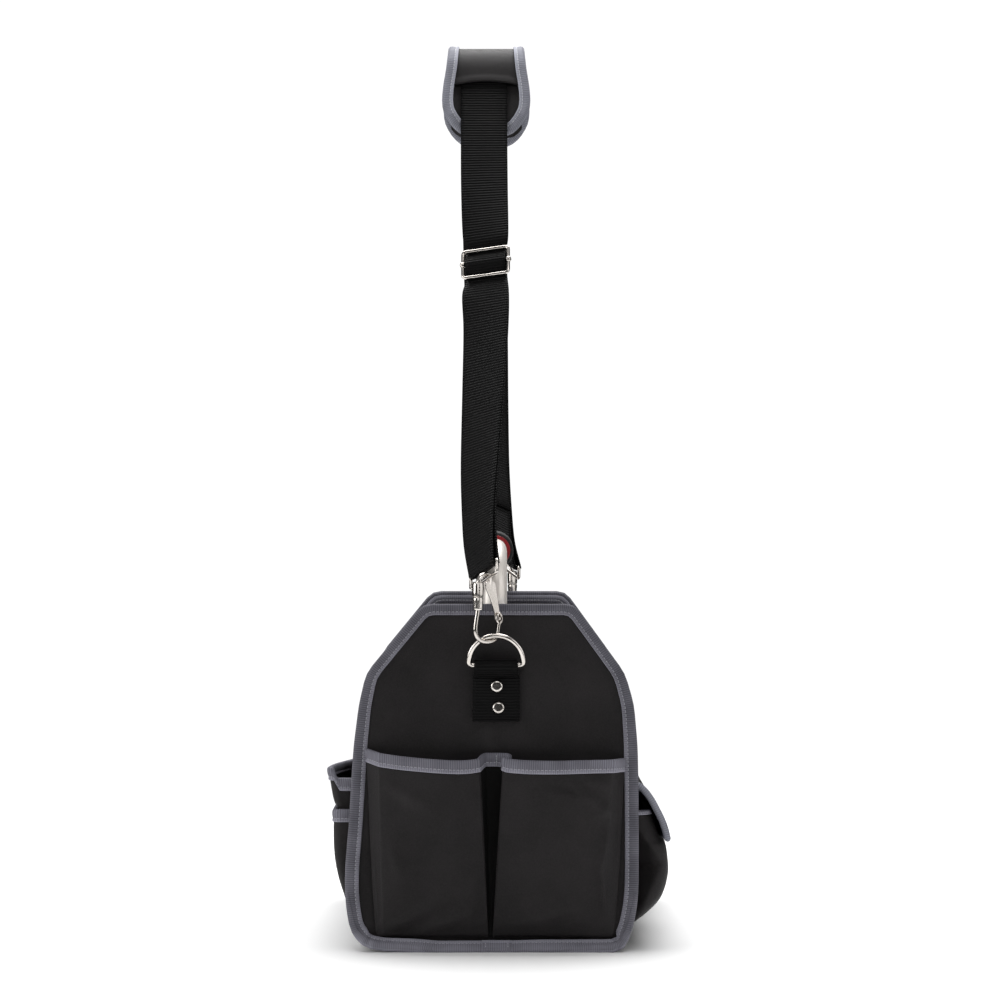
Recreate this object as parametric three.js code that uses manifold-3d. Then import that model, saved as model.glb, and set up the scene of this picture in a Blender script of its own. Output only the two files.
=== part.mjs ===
// Open-top tool bag standing on its base: a cloth body with taped seams, pockets on the ends and
// sides, a riveted tube handle, and a webbing shoulder strap drawn straight up over the middle.
// Millimetres, +Z up. The near end faces -Y and +X is to its right. The origin is the middle of
// the base, on the floor.

import * as THREE from "three";
import { mergeVertices } from "three/addons/utils/BufferGeometryUtils.js";
import Module from "manifold-3d";

const wasm = await Module();
wasm.setup();

// Driving dimensions of the body
const END_PLANE = 200; // outer face of each end panel, from the middle
const END_CLOTH = 2.4;
const SIDE_CLOTH = 2;
const POCKET_CLOTH = 1.6;
const FLAP_CLOTH = 2.4;
const SEAT_GAP = 0.3; // between pieces that touch
const BASE_HALF_WIDTH = 85;
const BASE_SEAM = 1.3; // from the base's edge to the foot of a side wall
const SIDE_HEIGHT = 205;
const SIDE_CORNER = 24; // height of the rounded lower corner
const SIDE_CORNER_STEPS = 4;
const SIDE_DIP = 7; // how far the top edge sags at mid-length
const SIDE_LEAN = 6; // how far the top edge leans inwards at mid-length
const LEAN_START = 150;
const LEAN_FULL = 190; // the taped top moves as one from here up
const SIDE_STATIONS = [-1, -0.75, -0.5, -0.25, 0, 0.25, 0.5, 0.75, 1]; // shares of the half length
const SEAM_FLANGE = 8; // the end panel stands this far out past the side wall

// Outer edge of a taped end panel, a row for each height
const END_OUTLINE = [
  { height: 0.4, left: -91, right: 91 },
  { height: 4, left: -102, right: 98.5 },
  { height: 14, left: -110.8, right: 103.2 },
  { height: 28, left: -114, right: 106.5 },
  { height: 45, left: -115.8, right: 108.8 },
  { height: 65, left: -115.5, right: 109 },
  { height: 98, left: -112.7, right: 109 },
  { height: 134, left: -110.6, right: 108.7 },
  { height: 158, left: -109, right: 108.2 },
  { height: 190, left: -105, right: 105.5 },
  { height: 214, left: -99.5, right: 98.6 },
  { height: 267, left: -56, right: 60 },
];

// Edge tape, folded over a cloth edge
const TAPE = 0.9;
const TAPE_FACE = 9.5;
const TAPE_BACK = 5;
const TAPE_BUILD = SEAT_GAP + TAPE; // what the tape adds beyond the cloth
const BASE_HALF_LENGTH = END_PLANE - END_CLOTH - TAPE_BUILD - SEAT_GAP; // up to the end tapes

// End pocket, a row for each line from its foot to its rim; depth is from panel to outer face
const END_POCKET_FOOT = 10.6;
const END_POCKET_FOOT_DEPTH = 2.1;
const END_POCKET_SPREAD = 0.6; // under 1, a line nears its rim's place early on the way up
const END_POCKET = [
  { rimX: -98.3, footX: -87, rim: 154.8, depth: 3.8 },
  { rimX: -89, footX: -81, rim: 151, depth: 11 },
  { rimX: -74, footX: -72, rim: 147.3, depth: 15.5 },
  { rimX: -52, footX: -48, rim: 145, depth: 18 },
  { rimX: -29, footX: -26, rim: 146.5, depth: 16 },
  { rimX: -13, footX: -8, rim: 149.8, depth: 11 },
  { rimX: -3.5, footX: -4.6, rim: 150.8, depth: 3.8 },
  { rimX: 8, footX: -1.2, rim: 149.3, depth: 11 },
  { rimX: 26, footX: 18, rim: 146.4, depth: 16 },
  { rimX: 50, footX: 41, rim: 144.8, depth: 18 },
  { rimX: 73, footX: 62, rim: 145.6, depth: 15.5 },
  { rimX: 90, footX: 76, rim: 146.9, depth: 11 },
  { rimX: 97.3, footX: 84, rim: 147.3, depth: 3.8 },
];
// How a line of the pocket goes from foot to rim, as shares of its height and of its depth
const END_POCKET_RISE = [
  { height: 0, depth: 0 },
  { height: 0.08, depth: 0.3 },
  { height: 0.25, depth: 0.55 },
  { height: 0.5, depth: 0.75 },
  { height: 0.75, depth: 0.9 },
  { height: 1, depth: 1 },
];

// Side pockets: how far each stands out from the middle plane, a row for each height
const LEFT_UPPER = {
  halfLength: 186,
  corner: 6,
  rows: [
    { height: 62, reach: 110.2 },
    { height: 85, reach: 112.5 },
    { height: 106, reach: 115.5 },
    { height: 127, reach: 131 },
    { height: 139, reach: 131 },
  ],
};
const LEFT_LOWER = {
  halfLength: 190,
  corner: 6,
  rows: [
    { height: 24, reach: 108.2 },
    { height: 30, reach: 114.6 },
    { height: 45, reach: 117.8 },
    { height: 62, reach: 121.4 },
    { height: 78, reach: 124.4 },
    { height: 94, reach: 126.2 },
    { height: 107, reach: 126.2 },
  ],
};
const POUCH = {
  halfLength: 187,
  corner: 16,
  rows: [
    { height: 15, reach: 100.5 },
    { height: 26, reach: 117 },
    { height: 36, reach: 127 },
    { height: 46, reach: 131.8 },
    { height: 58, reach: 134.3 },
    { height: 68, reach: 132.6 },
    { height: 78, reach: 127 },
    { height: 94, reach: 115 },
    { height: 106, reach: 115 },
  ],
};
const POCKET_CORNER_SHARE = 0.7; // most of a pocket's depth that its round corner may take
const HOLLOW_PAST = 5; // the hollow is cut this far past the pocket's open sides
const SIDE_TAPE_BACK = 8;

// Flap over the right pouch, from its root on the wall to its tip
const FLAP_HALF_LENGTH = 186;
const FLAP = [
  { x: 101.9, height: 127.4 },
  { x: 109, height: 126 },
  { x: 114.4, height: 121.8 },
  { x: 119.2, height: 115.4 },
  { x: 123.6, height: 107.4 },
  { x: 127.4, height: 99.6 },
  { x: 130.2, height: 91.8 },
  { x: 132, height: 83.6 },
];
const FLAP_STATIONS = 4;
const FLAP_TAPE_FACE = 6;

// Webbing and the D-ring tab, as heights and as distances out from the end panel
const WEBBING_WIDTH = 38;
const WEBBING = 1.7;
const TAB_WIDTH = 36.6; // drawn in a little by its seams
const TAB_FOOT = 178;
const TAB_FLAT_TOP = 211;
const RING_BAR_HEIGHT = 219.4;
const RING_WIRE = 2.1; // radius
const RING_HALF_WIDTH = 21;
const RING_CORNER = 2.6;
const RING_ARCH = 23.8;
const RING_ARCH_STEPS = 14;
const RING_TILT = THREE.MathUtils.degToRad(20);
const TAB_EYE = RING_WIRE + SEAT_GAP; // radius of the tab's fold round the ring
const RING_BAR_OUT = SEAT_GAP + WEBBING + TAB_EYE;
const TAB_THICKNESS = 2 * WEBBING + SEAT_GAP;

// Rivets through tab, end panel and flattened handle leg
const RIVETS = [
  { name: "upper", x: 0.5, height: 204.8 },
  { name: "lower", x: 1.8, height: 188.2 },
];
const RIVET_HEAD = 4.8;
const RIVET_DOME = 2.2;
const RIVET_SHANK = 2.2;
const RIVET_TAIL = 4;
const RIVET_TAIL_THICKNESS = 1.4;

// Handle: a bent tube whose ends are pressed flat against the end panels
const HANDLE_X = -1;
const HANDLE_RADIUS = 9.5;
const HANDLE_WALL = 1.2;
const HANDLE_TOP = 308; // axis of the top run
const HANDLE_BEND = 30;
const HANDLE_BEND_STEPS = 4;
const HANDLE_FOOT = 170;
const FLAT_HALF_THICKNESS = 3.5;
const FLAT_HALF_WIDTH = 12.6;
const FLAT_TOP = 212;
const ROUND_FROM = 242;
const GRIP_LENGTH = 130;
const GRIP_RADIUS = 15;
const GRIP_CORE_RADIUS = 12.4;
const GRIP_CORE_PROUD = 0.6; // the core shows this much past the cover

// Strap: two straight runs that lean together over a round crown
const STRAP_LEAN = THREE.MathUtils.degToRad(23.2);
const CROWN_RADIUS = 31.4;
const CROWN_TOP = 721;
const STRAP_FOOT = 294.5; // height of the loop bar that the strap turns round
const SLIDER_HEIGHT = 540;
const NEAR_RUN = [
  { height: 294.5, x: -9.5, twist: 57 },
  { height: 318, x: -12.4, twist: 49 },
  { height: 345, x: -13.3, twist: 46 },
  { height: 380, x: -12.5, twist: 40 },
  { height: 436, x: -10, twist: 32 },
  { height: 486, x: -8.2, twist: 25 },
  { height: 540, x: -8.6, twist: 17 },
  { height: 600, x: -9.6, twist: 6 },
  { height: 648, x: -10, twist: 0 },
];
const FAR_RUN = [
  { height: 294.5, x: 9.5, twist: -57 },
  { height: 318, x: 3, twist: -50 },
  { height: 345, x: -0.7, twist: -45 },
  { height: 383, x: -4, twist: -38 },
  { height: 436, x: -6.5, twist: -30 },
  { height: 486, x: -8, twist: -22 },
  { height: 540, x: -9.3, twist: -14 },
  { height: 600, x: -10, twist: -5 },
  { height: 648, x: -10, twist: 0 },
];
const CROWN_X = -10;
const LAYER_OFFSET = 1.25; // each layer of the doubled strap lies this far off its middle
const LAYER_JOIN = 35; // height over which the two layers come together above a loop
const FAR_TURN_BACK = 45; // sewn end of the strap at the far loop
const TURN_ANGLES = [150, 120, 90, 60, 30]; // degrees round a loop bar

// Loops, hooks and gates
const LOOP_WIRE = 1.4; // radius
const LOOP_HEIGHT = 10.6; // between the axes of the two bars
const LOOP_HALF_WIDTH = 21;
const LOOP_CORNER = 2;
const HOOK_TURN = THREE.MathUtils.degToRad(40); // of the hook's plane, from the end panel's
const HOOK_OFF_CENTRE = 6; // along the loop's lower bar
const HOOK_WIRE = 1.7; // radius
const HOOK_EYE_ACROSS = -2.9; // barrel round the loop, from the bow's lowest point
const HOOK_EYE = 2.9;
const HOOK_BODY_DEPTH = 5.2;
const LEAF_BACK = -1.9;
const LEAF_FRONT = -0.4;
const GATE_BACK = LEAF_FRONT + SEAT_GAP;
const GATE_FRONT = 1.9;
const PIN_HEAD_BACK = GATE_FRONT + SEAT_GAP;
const PIN_HEAD_FRONT = 3;
const PIN_HEAD = 2.6;
const PIN = 1.3;
const GATE_BORE = PIN + SEAT_GAP;
const GATE_PIVOT = { across: 8.6, height: 257 };
const GATE_HEAD = 3.2;
const GATE_TIP = { across: 6.7, height: 244.2, half: 1.4 };
// Outlines in the hook's plane, across it from the bow's lowest point
const HOOK_BODY = [
  { across: -15.2, height: 264 },
  { across: -10, height: 264 },
  { across: -10, height: 272 },
  { across: -7.4, height: 277.5 },
  { across: -2.5, height: 280 },
  { across: 1.4, height: 279 },
  { across: 4.6, height: 276 },
  { across: 5.6, height: 281 },
  { across: 2.2, height: 288.6 },
  { across: -1, height: 291 },
  { across: -5, height: 291.2 },
  { across: -9.5, height: 289 },
  { across: -14, height: 284.5 },
  { across: -15.2, height: 279 },
];
const HOOK_BOW = [
  { across: -12.6, height: 276 },
  { across: -12.6, height: 263 },
  { across: -14.4, height: 253 },
  { across: -15, height: 247 },
  { across: -13.6, height: 241.8 },
  { across: -10, height: 238.6 },
  { across: -5, height: 237.3 },
  { across: 0.5, height: 237.6 },
  { across: 4.6, height: 239.2 },
  { across: 6.2, height: 241 },
];
const HOOK_LEAF = [
  { across: 11.8, height: 257 },
  { across: 9.8, height: 269 },
  { across: 5.4, height: 281 },
  { across: 1.5, height: 280 },
  { across: 5, height: 266 },
];

// Slider: a wire frame with a bar that slides on its two sides
const SLIDER_WIRE = 1.4; // radius
const SLIDER_HALF_WIDTH = 19.1;
const SLIDER_HALF_HEIGHT = 11.6;
const SLIDER_CORNER = 2.6;
const SLIDER_BAR = 1.3; // radius
const SLIDER_BALL = 2.6;
const SLIDER_BALL_BORE = 1.7;
const BUNCHED = 0.88; // width of the webbing inside the slider
// How the two layers pass the slider: distance up from its bar, and off the strap's middle line
const SLIDER_INNER = [
  { rise: 3, offset: -2.6, width: BUNCHED },
  { rise: -3, offset: -2.6, width: BUNCHED },
  { rise: -13, offset: -4.9, width: BUNCHED },
  { rise: -30, offset: -1.6, width: 1 },
];
const SLIDER_OUTER = [
  { rise: -28, offset: 1.3, width: 1 },
  { rise: -12, offset: -2.8, width: BUNCHED },
  { rise: 0, offset: 2.65, width: BUNCHED },
  { rise: 12, offset: -2.8, width: BUNCHED },
  { rise: 24, offset: 0, width: 1 },
];

// Shoulder pad: half width by distance along it from the crown
const PAD = [
  { along: 0, half: 31 },
  { along: 12, half: 31.1 },
  { along: 24, half: 31.6 },
  { along: 36, half: 32.6 },
  { along: 52, half: 35 },
  { along: 66, half: 36 },
  { along: 77, half: 34.8 },
  { along: 86, half: 29.6 },
  { along: 92.5, half: 22 },
  { along: 95.4, half: 13 },
];
// The same rows from the pad's near end to its far end
const PAD_ROWS = [
  ...PAD.slice(1).reverse().map(({ along: distance, half }) => ({ distance: -distance, half })),
  ...PAD.map(({ along: distance, half }) => ({ distance, half })),
];
const PAD_LENGTH = PAD[PAD.length - 1].along;
const STRAP_CROWN = 40; // the strap bends with the pad up to here
const PAD_THICKNESS = 7;
const PAD_EDGE = 2.4;
const PAD_TAPE_FACE = 8.3;
const PAD_THIN = PAD_TAPE_FACE + 2.7; // width of the thin edge that the tape lies on
const PAD_RAMP = 4; // over which the pad swells inside its thin edge
const PAD_END_SHARE = 0.4; // where the pad is too narrow, each column lies at this share of the last
const PAD_DROP = WEBBING / 2 + SEAT_GAP + PAD_THICKNESS / 2; // pad's middle under the strap's
const SLEEVE_END = 52;
const SLEEVE_CLOTH = 1.2;
const SLEEVE_SIDE_DROP = -1.6;
const SLEEVE_STRAP_HALF = 19.8;
const SLEEVE_HEM_CURVE = 4;

// Fineness of round work
const WIRE_SIDES = 6;
const TUBE_SIDES = 10;
const GRIP_SIDES = 24;
const ROUND_SEGMENTS = 8;
const ARC_STEPS = 3;

const AXIS_X = new THREE.Vector3(1, 0, 0);
const AXIS_Y = new THREE.Vector3(0, 1, 0);
const AXIS_Z = new THREE.Vector3(0, 0, 1);

// Finishes
const finish = (color, roughness, metalness = 0) => ({ color, roughness, metalness });
const BLACK_CLOTH = finish(0x262425, 0.85);
const GREY_TAPE = finish(0x5c5c64, 0.75);
const BLACK_WEBBING = finish(0x1e1d1d, 0.7);
const NICKEL = finish(0xcfc6ba, 0.25, 1);
const SATIN_TUBE = finish(0xc8bfb2, 0.4, 1);
const RED_GRIP = finish(0xa81424, 0.5);
const DARK_GRIP = finish(0x1b1a1b, 0.7);

const bag = new THREE.Group();

function add(name, geometry, look, parent = bag) {
  const mesh = new THREE.Mesh(geometry, new THREE.MeshStandardMaterial(look));
  mesh.name = name;
  parent.add(mesh);
  return mesh;
}

// Closed solids from points and triangles

function vec(x, y, z) {
  return new THREE.Vector3(x, y, z);
}

function along(origin, ...terms) {
  const point = origin.clone();
  for (const [direction, distance] of terms) {
    point.addScaledVector(direction, distance);
  }
  return point;
}

function closedGeometry(points, triangles) {
  const volume = triangles.reduce((sum, [a, b, c]) => {
    return sum + points[a].dot(points[b].clone().cross(points[c]));
  }, 0);
  const facing = volume > 0 ? triangles : triangles.map(([a, b, c]) => [a, c, b]);
  const geometry = new THREE.BufferGeometry().setFromPoints(points);
  geometry.setIndex(facing.flat());
  geometry.computeVertexNormals();
  return geometry;
}

// Joins a row of rings with as many points each; the ends are closed unless the row closes itself
function sweep(rings, profile, closed = false) {
  const size = profile.length;
  const triangles = [];
  const spans = closed ? rings.length : rings.length - 1;
  for (let ring = 0; ring < spans; ring += 1) {
    const here = ring * size;
    const there = ((ring + 1) % rings.length) * size;
    for (let side = 0; side < size; side += 1) {
      const after = (side + 1) % size;
      triangles.push([here + side, here + after, there + after]);
      triangles.push([here + side, there + after, there + side]);
    }
  }
  if (!closed) {
    const turn = Math.sign(THREE.ShapeUtils.area(profile));
    const end = (rings.length - 1) * size;
    for (const face of THREE.ShapeUtils.triangulateShape(profile, [])) {
      const corners = face.map((index) => profile[index]);
      const [a, b, c] = Math.sign(THREE.ShapeUtils.area(corners)) === turn ? face : [...face].reverse();
      triangles.push([a, c, b], [end + a, end + b, end + c]);
    }
  }
  return closedGeometry(rings.flat(), triangles);
}

// A cloth piece between two grids of points, closed round its rim
function slab(front, back) {
  const rows = front.length;
  const columns = front[0].length;
  const count = rows * columns;
  const at = (row, column) => row * columns + column;
  const triangles = [];
  const quad = (a, b, c, d) => triangles.push([a, b, c], [a, c, d]);
  for (let row = 0; row < rows - 1; row += 1) {
    for (let column = 0; column < columns - 1; column += 1) {
      const corners = [
        at(row, column), at(row, column + 1), at(row + 1, column + 1), at(row + 1, column),
      ];
      quad(...corners);
      quad(...corners.map((corner) => corner + count).reverse());
    }
  }
  const rim = [];
  for (let column = 0; column < columns - 1; column += 1) {
    rim.push(at(0, column));
  }
  for (let row = 0; row < rows - 1; row += 1) {
    rim.push(at(row, columns - 1));
  }
  for (let column = columns - 1; column > 0; column -= 1) {
    rim.push(at(rows - 1, column));
  }
  for (let row = rows - 1; row > 0; row -= 1) {
    rim.push(at(row, 0));
  }
  rim.forEach((point, index) => {
    const next = rim[(index + 1) % rim.length];
    quad(point, point + count, next + count, next);
  });
  return closedGeometry([...front.flat(), ...back.flat()], triangles);
}

// Direction square to a grid at one of its points
function gridNormal(grid, row, column) {
  const line = grid[row];
  const before = grid[Math.max(row - 1, 0)][column];
  const after = grid[Math.min(row + 1, grid.length - 1)][column];
  const left = line[Math.max(column - 1, 0)];
  const right = line[Math.min(column + 1, line.length - 1)];
  return after.clone().sub(before).cross(right.clone().sub(left)).normalize();
}

// The grid again, moved along its own normals
function offsetGrid(grid, distance) {
  return grid.map((line, row) => {
    return line.map((point, column) => along(point, [gridNormal(grid, row, column), distance]));
  });
}

// A tape of U section over a cloth edge; each stop gives the edge, the way out and the front face
function tape(stops, cloth, { face = TAPE_FACE, back = TAPE_BACK, closed = false } = {}) {
  const inside = cloth / 2 + SEAT_GAP;
  const outside = inside + TAPE;
  const [faceEnd, backEnd] = [TAPE_BUILD - face, TAPE_BUILD - back];
  const profile = [
    [faceEnd, inside], [faceEnd, outside], [TAPE_BUILD, outside], [TAPE_BUILD, -outside],
    [backEnd, -outside], [backEnd, -inside], [SEAT_GAP, -inside], [SEAT_GAP, inside],
  ].map(([out, front]) => new THREE.Vector2(out, front));
  const rings = stops.map((stop) => {
    return profile.map(({ x, y }) => along(stop.at, [stop.out, x], [stop.front, y]));
  });
  return sweep(rings, profile, closed);
}

const roundProfile = (sides) => {
  return Array.from({ length: sides }, (_, index) => {
    const angle = (2 * Math.PI * index) / sides;
    return new THREE.Vector2(Math.cos(angle), Math.sin(angle));
  });
};

// A wire or tube through points of one plane; size gives its half thickness in and off the plane
function wire(points, planeNormal, size, { sides = WIRE_SIDES, closed = false } = {}) {
  const profile = roundProfile(sides);
  const count = points.length;
  const rings = points.map((point, index) => {
    const before = closed ? points[(index + count - 1) % count] : points[Math.max(index - 1, 0)];
    const after = closed ? points[(index + 1) % count] : points[Math.min(index + 1, count - 1)];
    const side = after.clone().sub(before).cross(planeNormal).normalize();
    const [inPlane, offPlane] = size(index);
    return profile.map(({ x, y }) => along(point, [side, x * inPlane], [planeNormal, y * offPlane]));
  });
  return sweep(rings, profile, closed);
}

const evenly = (radius) => () => [radius, radius];

// Points of an arc in a plane, as pairs
function arc(centreX, centreY, radiusX, radiusY, from, to, steps = ARC_STEPS) {
  return Array.from({ length: steps + 1 }, (_, index) => {
    const angle = THREE.MathUtils.degToRad(from + ((to - from) * index) / steps);
    return [centreX + radiusX * Math.cos(angle), centreY + radiusY * Math.sin(angle)];
  });
}

// Closed outline of a rectangle with round corners, as pairs
function roundedRectangle(halfWidth, low, high, corner) {
  const side = halfWidth - corner;
  return [
    ...arc(side, high - corner, corner, corner, 0, 90),
    ...arc(-side, high - corner, corner, corner, 90, 180),
    ...arc(-side, low + corner, corner, corner, 180, 270),
    ...arc(side, low + corner, corner, corner, 270, 360),
  ];
}

// Cutting and joining

function toSolid(geometry) {
  const bare = geometry.clone();
  bare.deleteAttribute("normal");
  bare.deleteAttribute("uv");
  const merged = mergeVertices(bare);
  const vertProperties = new Float32Array(merged.attributes.position.array);
  const triVerts = new Uint32Array(merged.index.array);
  return new wasm.Manifold(new wasm.Mesh({ numProp: 3, vertProperties, triVerts }));
}

function toGeometry(solid) {
  const { vertProperties, triVerts } = solid.getMesh();
  const geometry = new THREE.BufferGeometry();
  geometry.setAttribute("position", new THREE.BufferAttribute(new Float32Array(vertProperties), 3));
  geometry.setIndex(new THREE.BufferAttribute(new Uint32Array(triVerts), 1));
  geometry.computeVertexNormals();
  return geometry;
}

function cut(geometry, ...tools) {
  return toGeometry(tools.reduce((solid, tool) => solid.subtract(toSolid(tool)), toSolid(geometry)));
}

function join(...geometries) {
  const [first, ...others] = geometries.map(toSolid);
  return toGeometry(others.reduce((solid, other) => solid.add(other), first));
}

// Sets a geometry drawn in x, y and z on an origin and two axes; its z then follows from them
function place(geometry, origin, xAxis, yAxis) {
  const zAxis = xAxis.clone().cross(yAxis);
  const matrix = new THREE.Matrix4().makeBasis(xAxis, yAxis, zAxis).setPosition(origin);
  return geometry.applyMatrix4(matrix);
}

// Round stretches get half as many steps as the sides of a full circle
function extrude(shape, depth, sides = ROUND_SEGMENTS) {
  const settings = { depth, bevelEnabled: false, curveSegments: sides / 2 };
  return new THREE.ExtrudeGeometry(shape, settings);
}

// A round bar along Y
function barAlongY(radius, from, to, x = 0, z = 0) {
  const bar = new THREE.CylinderGeometry(radius, radius, to - from, ROUND_SEGMENTS);
  return bar.translate(x, (from + to) / 2, z);
}

// Value of a column in a table, between the two rows that a key lies between
function lookUp(rows, keyName, key, column) {
  const above = rows.findIndex((row) => row[keyName] >= key);
  if (above <= 0) {
    return above === 0 ? rows[0][column] : rows[rows.length - 1][column];
  }
  const [low, high] = [rows[above - 1], rows[above]];
  const share = (key - low[keyName]) / (high[keyName] - low[keyName]);
  return THREE.MathUtils.lerp(low[column], high[column], share);
}

// Body

const LEFT = { sign: -1, column: "left" };
const RIGHT = { sign: 1, column: "right" };

// Outer face of a side wall, as a distance from the middle plane
function wallAt(side, height) {
  return side.sign * lookUp(END_OUTLINE, "height", height, side.column) - SEAM_FLANGE;
}

function sideSection(side) {
  const foot = BASE_HALF_WIDTH + BASE_SEAM;
  const cornerReach = wallAt(side, SIDE_CORNER) - foot;
  const corner = arc(foot, SIDE_CORNER, cornerReach, SIDE_CORNER, -90, 0, SIDE_CORNER_STEPS);
  const heights = END_OUTLINE.map((row) => row.height);
  const above = heights.filter((height) => height > SIDE_CORNER && height < SIDE_HEIGHT);
  const wall = [...above, SIDE_HEIGHT].map((height) => [wallAt(side, height), height]);
  return [...corner, ...wall];
}

function sideGrid(side) {
  return SIDE_STATIONS.map((station) => {
    const slack = 1 - station * station;
    return sideSection(side).map(([reach, height]) => {
      const upper = THREE.MathUtils.clamp((height - LEAN_START) / (LEAN_FULL - LEAN_START), 0, 1);
      const x = side.sign * (reach - SIDE_LEAN * slack * upper);
      return vec(x, BASE_HALF_LENGTH * station, height - SIDE_DIP * slack * upper);
    });
  });
}

function baseGeometry() {
  const base = new THREE.BoxGeometry(2 * BASE_HALF_WIDTH, 2 * BASE_HALF_LENGTH, END_CLOTH);
  return base.translate(0, 0, END_CLOTH / 2);
}

function addSide(side, name) {
  const grid = sideGrid(side);
  const inner = offsetGrid(grid, -side.sign * SIDE_CLOTH);
  add(`side_panel_${name}`, slab(grid, inner), BLACK_CLOTH);
  const stops = grid.map((line, row) => {
    const top = line.length - 1;
    const at = line[top].clone().lerp(inner[row][top], 0.5);
    const out = line[top].clone().sub(line[top - 1]).normalize();
    const front = line[top].clone().sub(inner[row][top]).normalize();
    return { at, out, front };
  });
  add(`side_tape_${name}`, tape(stops, SIDE_CLOTH), GREY_TAPE);
}

// The cloth inside a taped outline, counter-clockwise, with the ways out at its corners
function clothOutline(points) {
  return points.map((point, index) => {
    const before = points[(index + points.length - 1) % points.length];
    const after = points[(index + 1) % points.length];
    const [first, second] = [[before, point], [point, after]].map(([from, to]) => {
      const edge = to.clone().sub(from).normalize();
      return new THREE.Vector2(edge.y, -edge.x);
    });
    const out = first.clone().add(second).divideScalar(1 + first.dot(second));
    return { point: point.clone().addScaledVector(out, -TAPE_BUILD), out };
  });
}

function endOutline() {
  const rightUp = END_OUTLINE.map((row) => new THREE.Vector2(row.right, row.height));
  const leftDown = END_OUTLINE.map((row) => new THREE.Vector2(row.left, row.height)).reverse();
  return clothOutline([...rightUp, ...leftDown]);
}

function rivetHoles() {
  const reach = 2 * HANDLE_RADIUS;
  return RIVETS.map(({ x, height }) => {
    return barAlongY(RIVET_SHANK + SEAT_GAP, -END_PLANE - reach, -END_PLANE + reach, x, height);
  });
}

// The far end's hardware is the near end's turned half round, so its rivet holes are too
function endHoles(end) {
  return rivetHoles().map((hole) => (end.sign < 0 ? hole : hole.rotateZ(Math.PI)));
}

function addEnd(end) {
  const outline = endOutline();
  const shape = new THREE.Shape(outline.map(({ point }) => point));
  const panel = extrude(shape, END_CLOTH);
  const innerFace = end.sign * (END_PLANE - END_CLOTH);
  const startY = Math.max(innerFace, end.sign * END_PLANE);
  place(panel, vec(0, startY, 0), AXIS_X, AXIS_Z);
  add(`end_panel_${end.name}`, cut(panel, ...endHoles(end)), BLACK_CLOTH);
  const middle = end.sign * (END_PLANE - END_CLOTH / 2);
  const stops = outline.map(({ point, out }) => ({
    at: vec(point.x, middle, point.y),
    out: vec(out.x, 0, out.y),
    front: vec(0, end.sign, 0),
  }));
  add(`end_tape_${end.name}`, tape(stops, END_CLOTH, { closed: true }), GREY_TAPE);
}

// End pocket

function endPocketGrid(end) {
  return END_POCKET_RISE.map((level) => {
    return END_POCKET.map((line) => {
      const x = THREE.MathUtils.lerp(line.footX, line.rimX, level.height ** END_POCKET_SPREAD);
      const depth = THREE.MathUtils.lerp(END_POCKET_FOOT_DEPTH, line.depth, level.depth);
      const height = THREE.MathUtils.lerp(END_POCKET_FOOT, line.rim, level.height);
      return vec(x, end.sign * (END_PLANE + depth), height);
    });
  });
}

function addEndPocket(end) {
  const grid = endPocketGrid(end);
  const inner = offsetGrid(grid, -end.sign * POCKET_CLOTH);
  add(`end_pocket_${end.name}`, slab(grid, inner), BLACK_CLOTH);
  const top = grid.length - 1;
  const stops = grid[top].map((point, column) => {
    const at = point.clone().lerp(inner[top][column], 0.5);
    const front = point.clone().sub(inner[top][column]).normalize();
    const out = point.clone().sub(grid[top - 1][column]).normalize();
    return { at, out, front };
  });
  const rimTape = tape(stops, POCKET_CLOTH, { back: TAPE_FACE });
  add(`end_pocket_tape_${end.name}`, rimTape, GREY_TAPE);
}

// Side pockets

// Plan of a pocket at one height, inset from its outer face: gusset, front with round corners, gusset
function pocketPlan(side, { height, reach }, { halfLength, corner }, inset, rootHeight = height) {
  const wall = wallAt(side, Math.max(height, SIDE_CORNER)) + SEAT_GAP;
  const root = wallAt(side, Math.max(rootHeight, SIDE_CORNER)) + SEAT_GAP;
  const radius = Math.min(corner, (reach - wall) * POCKET_CORNER_SHARE);
  const [middleX, middleY] = [reach - radius, halfLength - radius];
  const turn = radius - inset;
  const nearCorner = arc(middleX, -middleY, turn, turn, -90, 0);
  const farCorner = arc(middleX, middleY, turn, turn, 0, 90);
  const plan = [[root, inset - halfLength], ...nearCorner, ...farCorner, [root, halfLength - inset]];
  return plan.map(([x, y]) => new THREE.Vector2(side.sign * x, y));
}

function pocketBlock(plans, heights) {
  const rings = plans.map((plan, index) => plan.map(({ x, y }) => vec(x, y, heights[index])));
  return sweep(rings, plans[0]);
}

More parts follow.
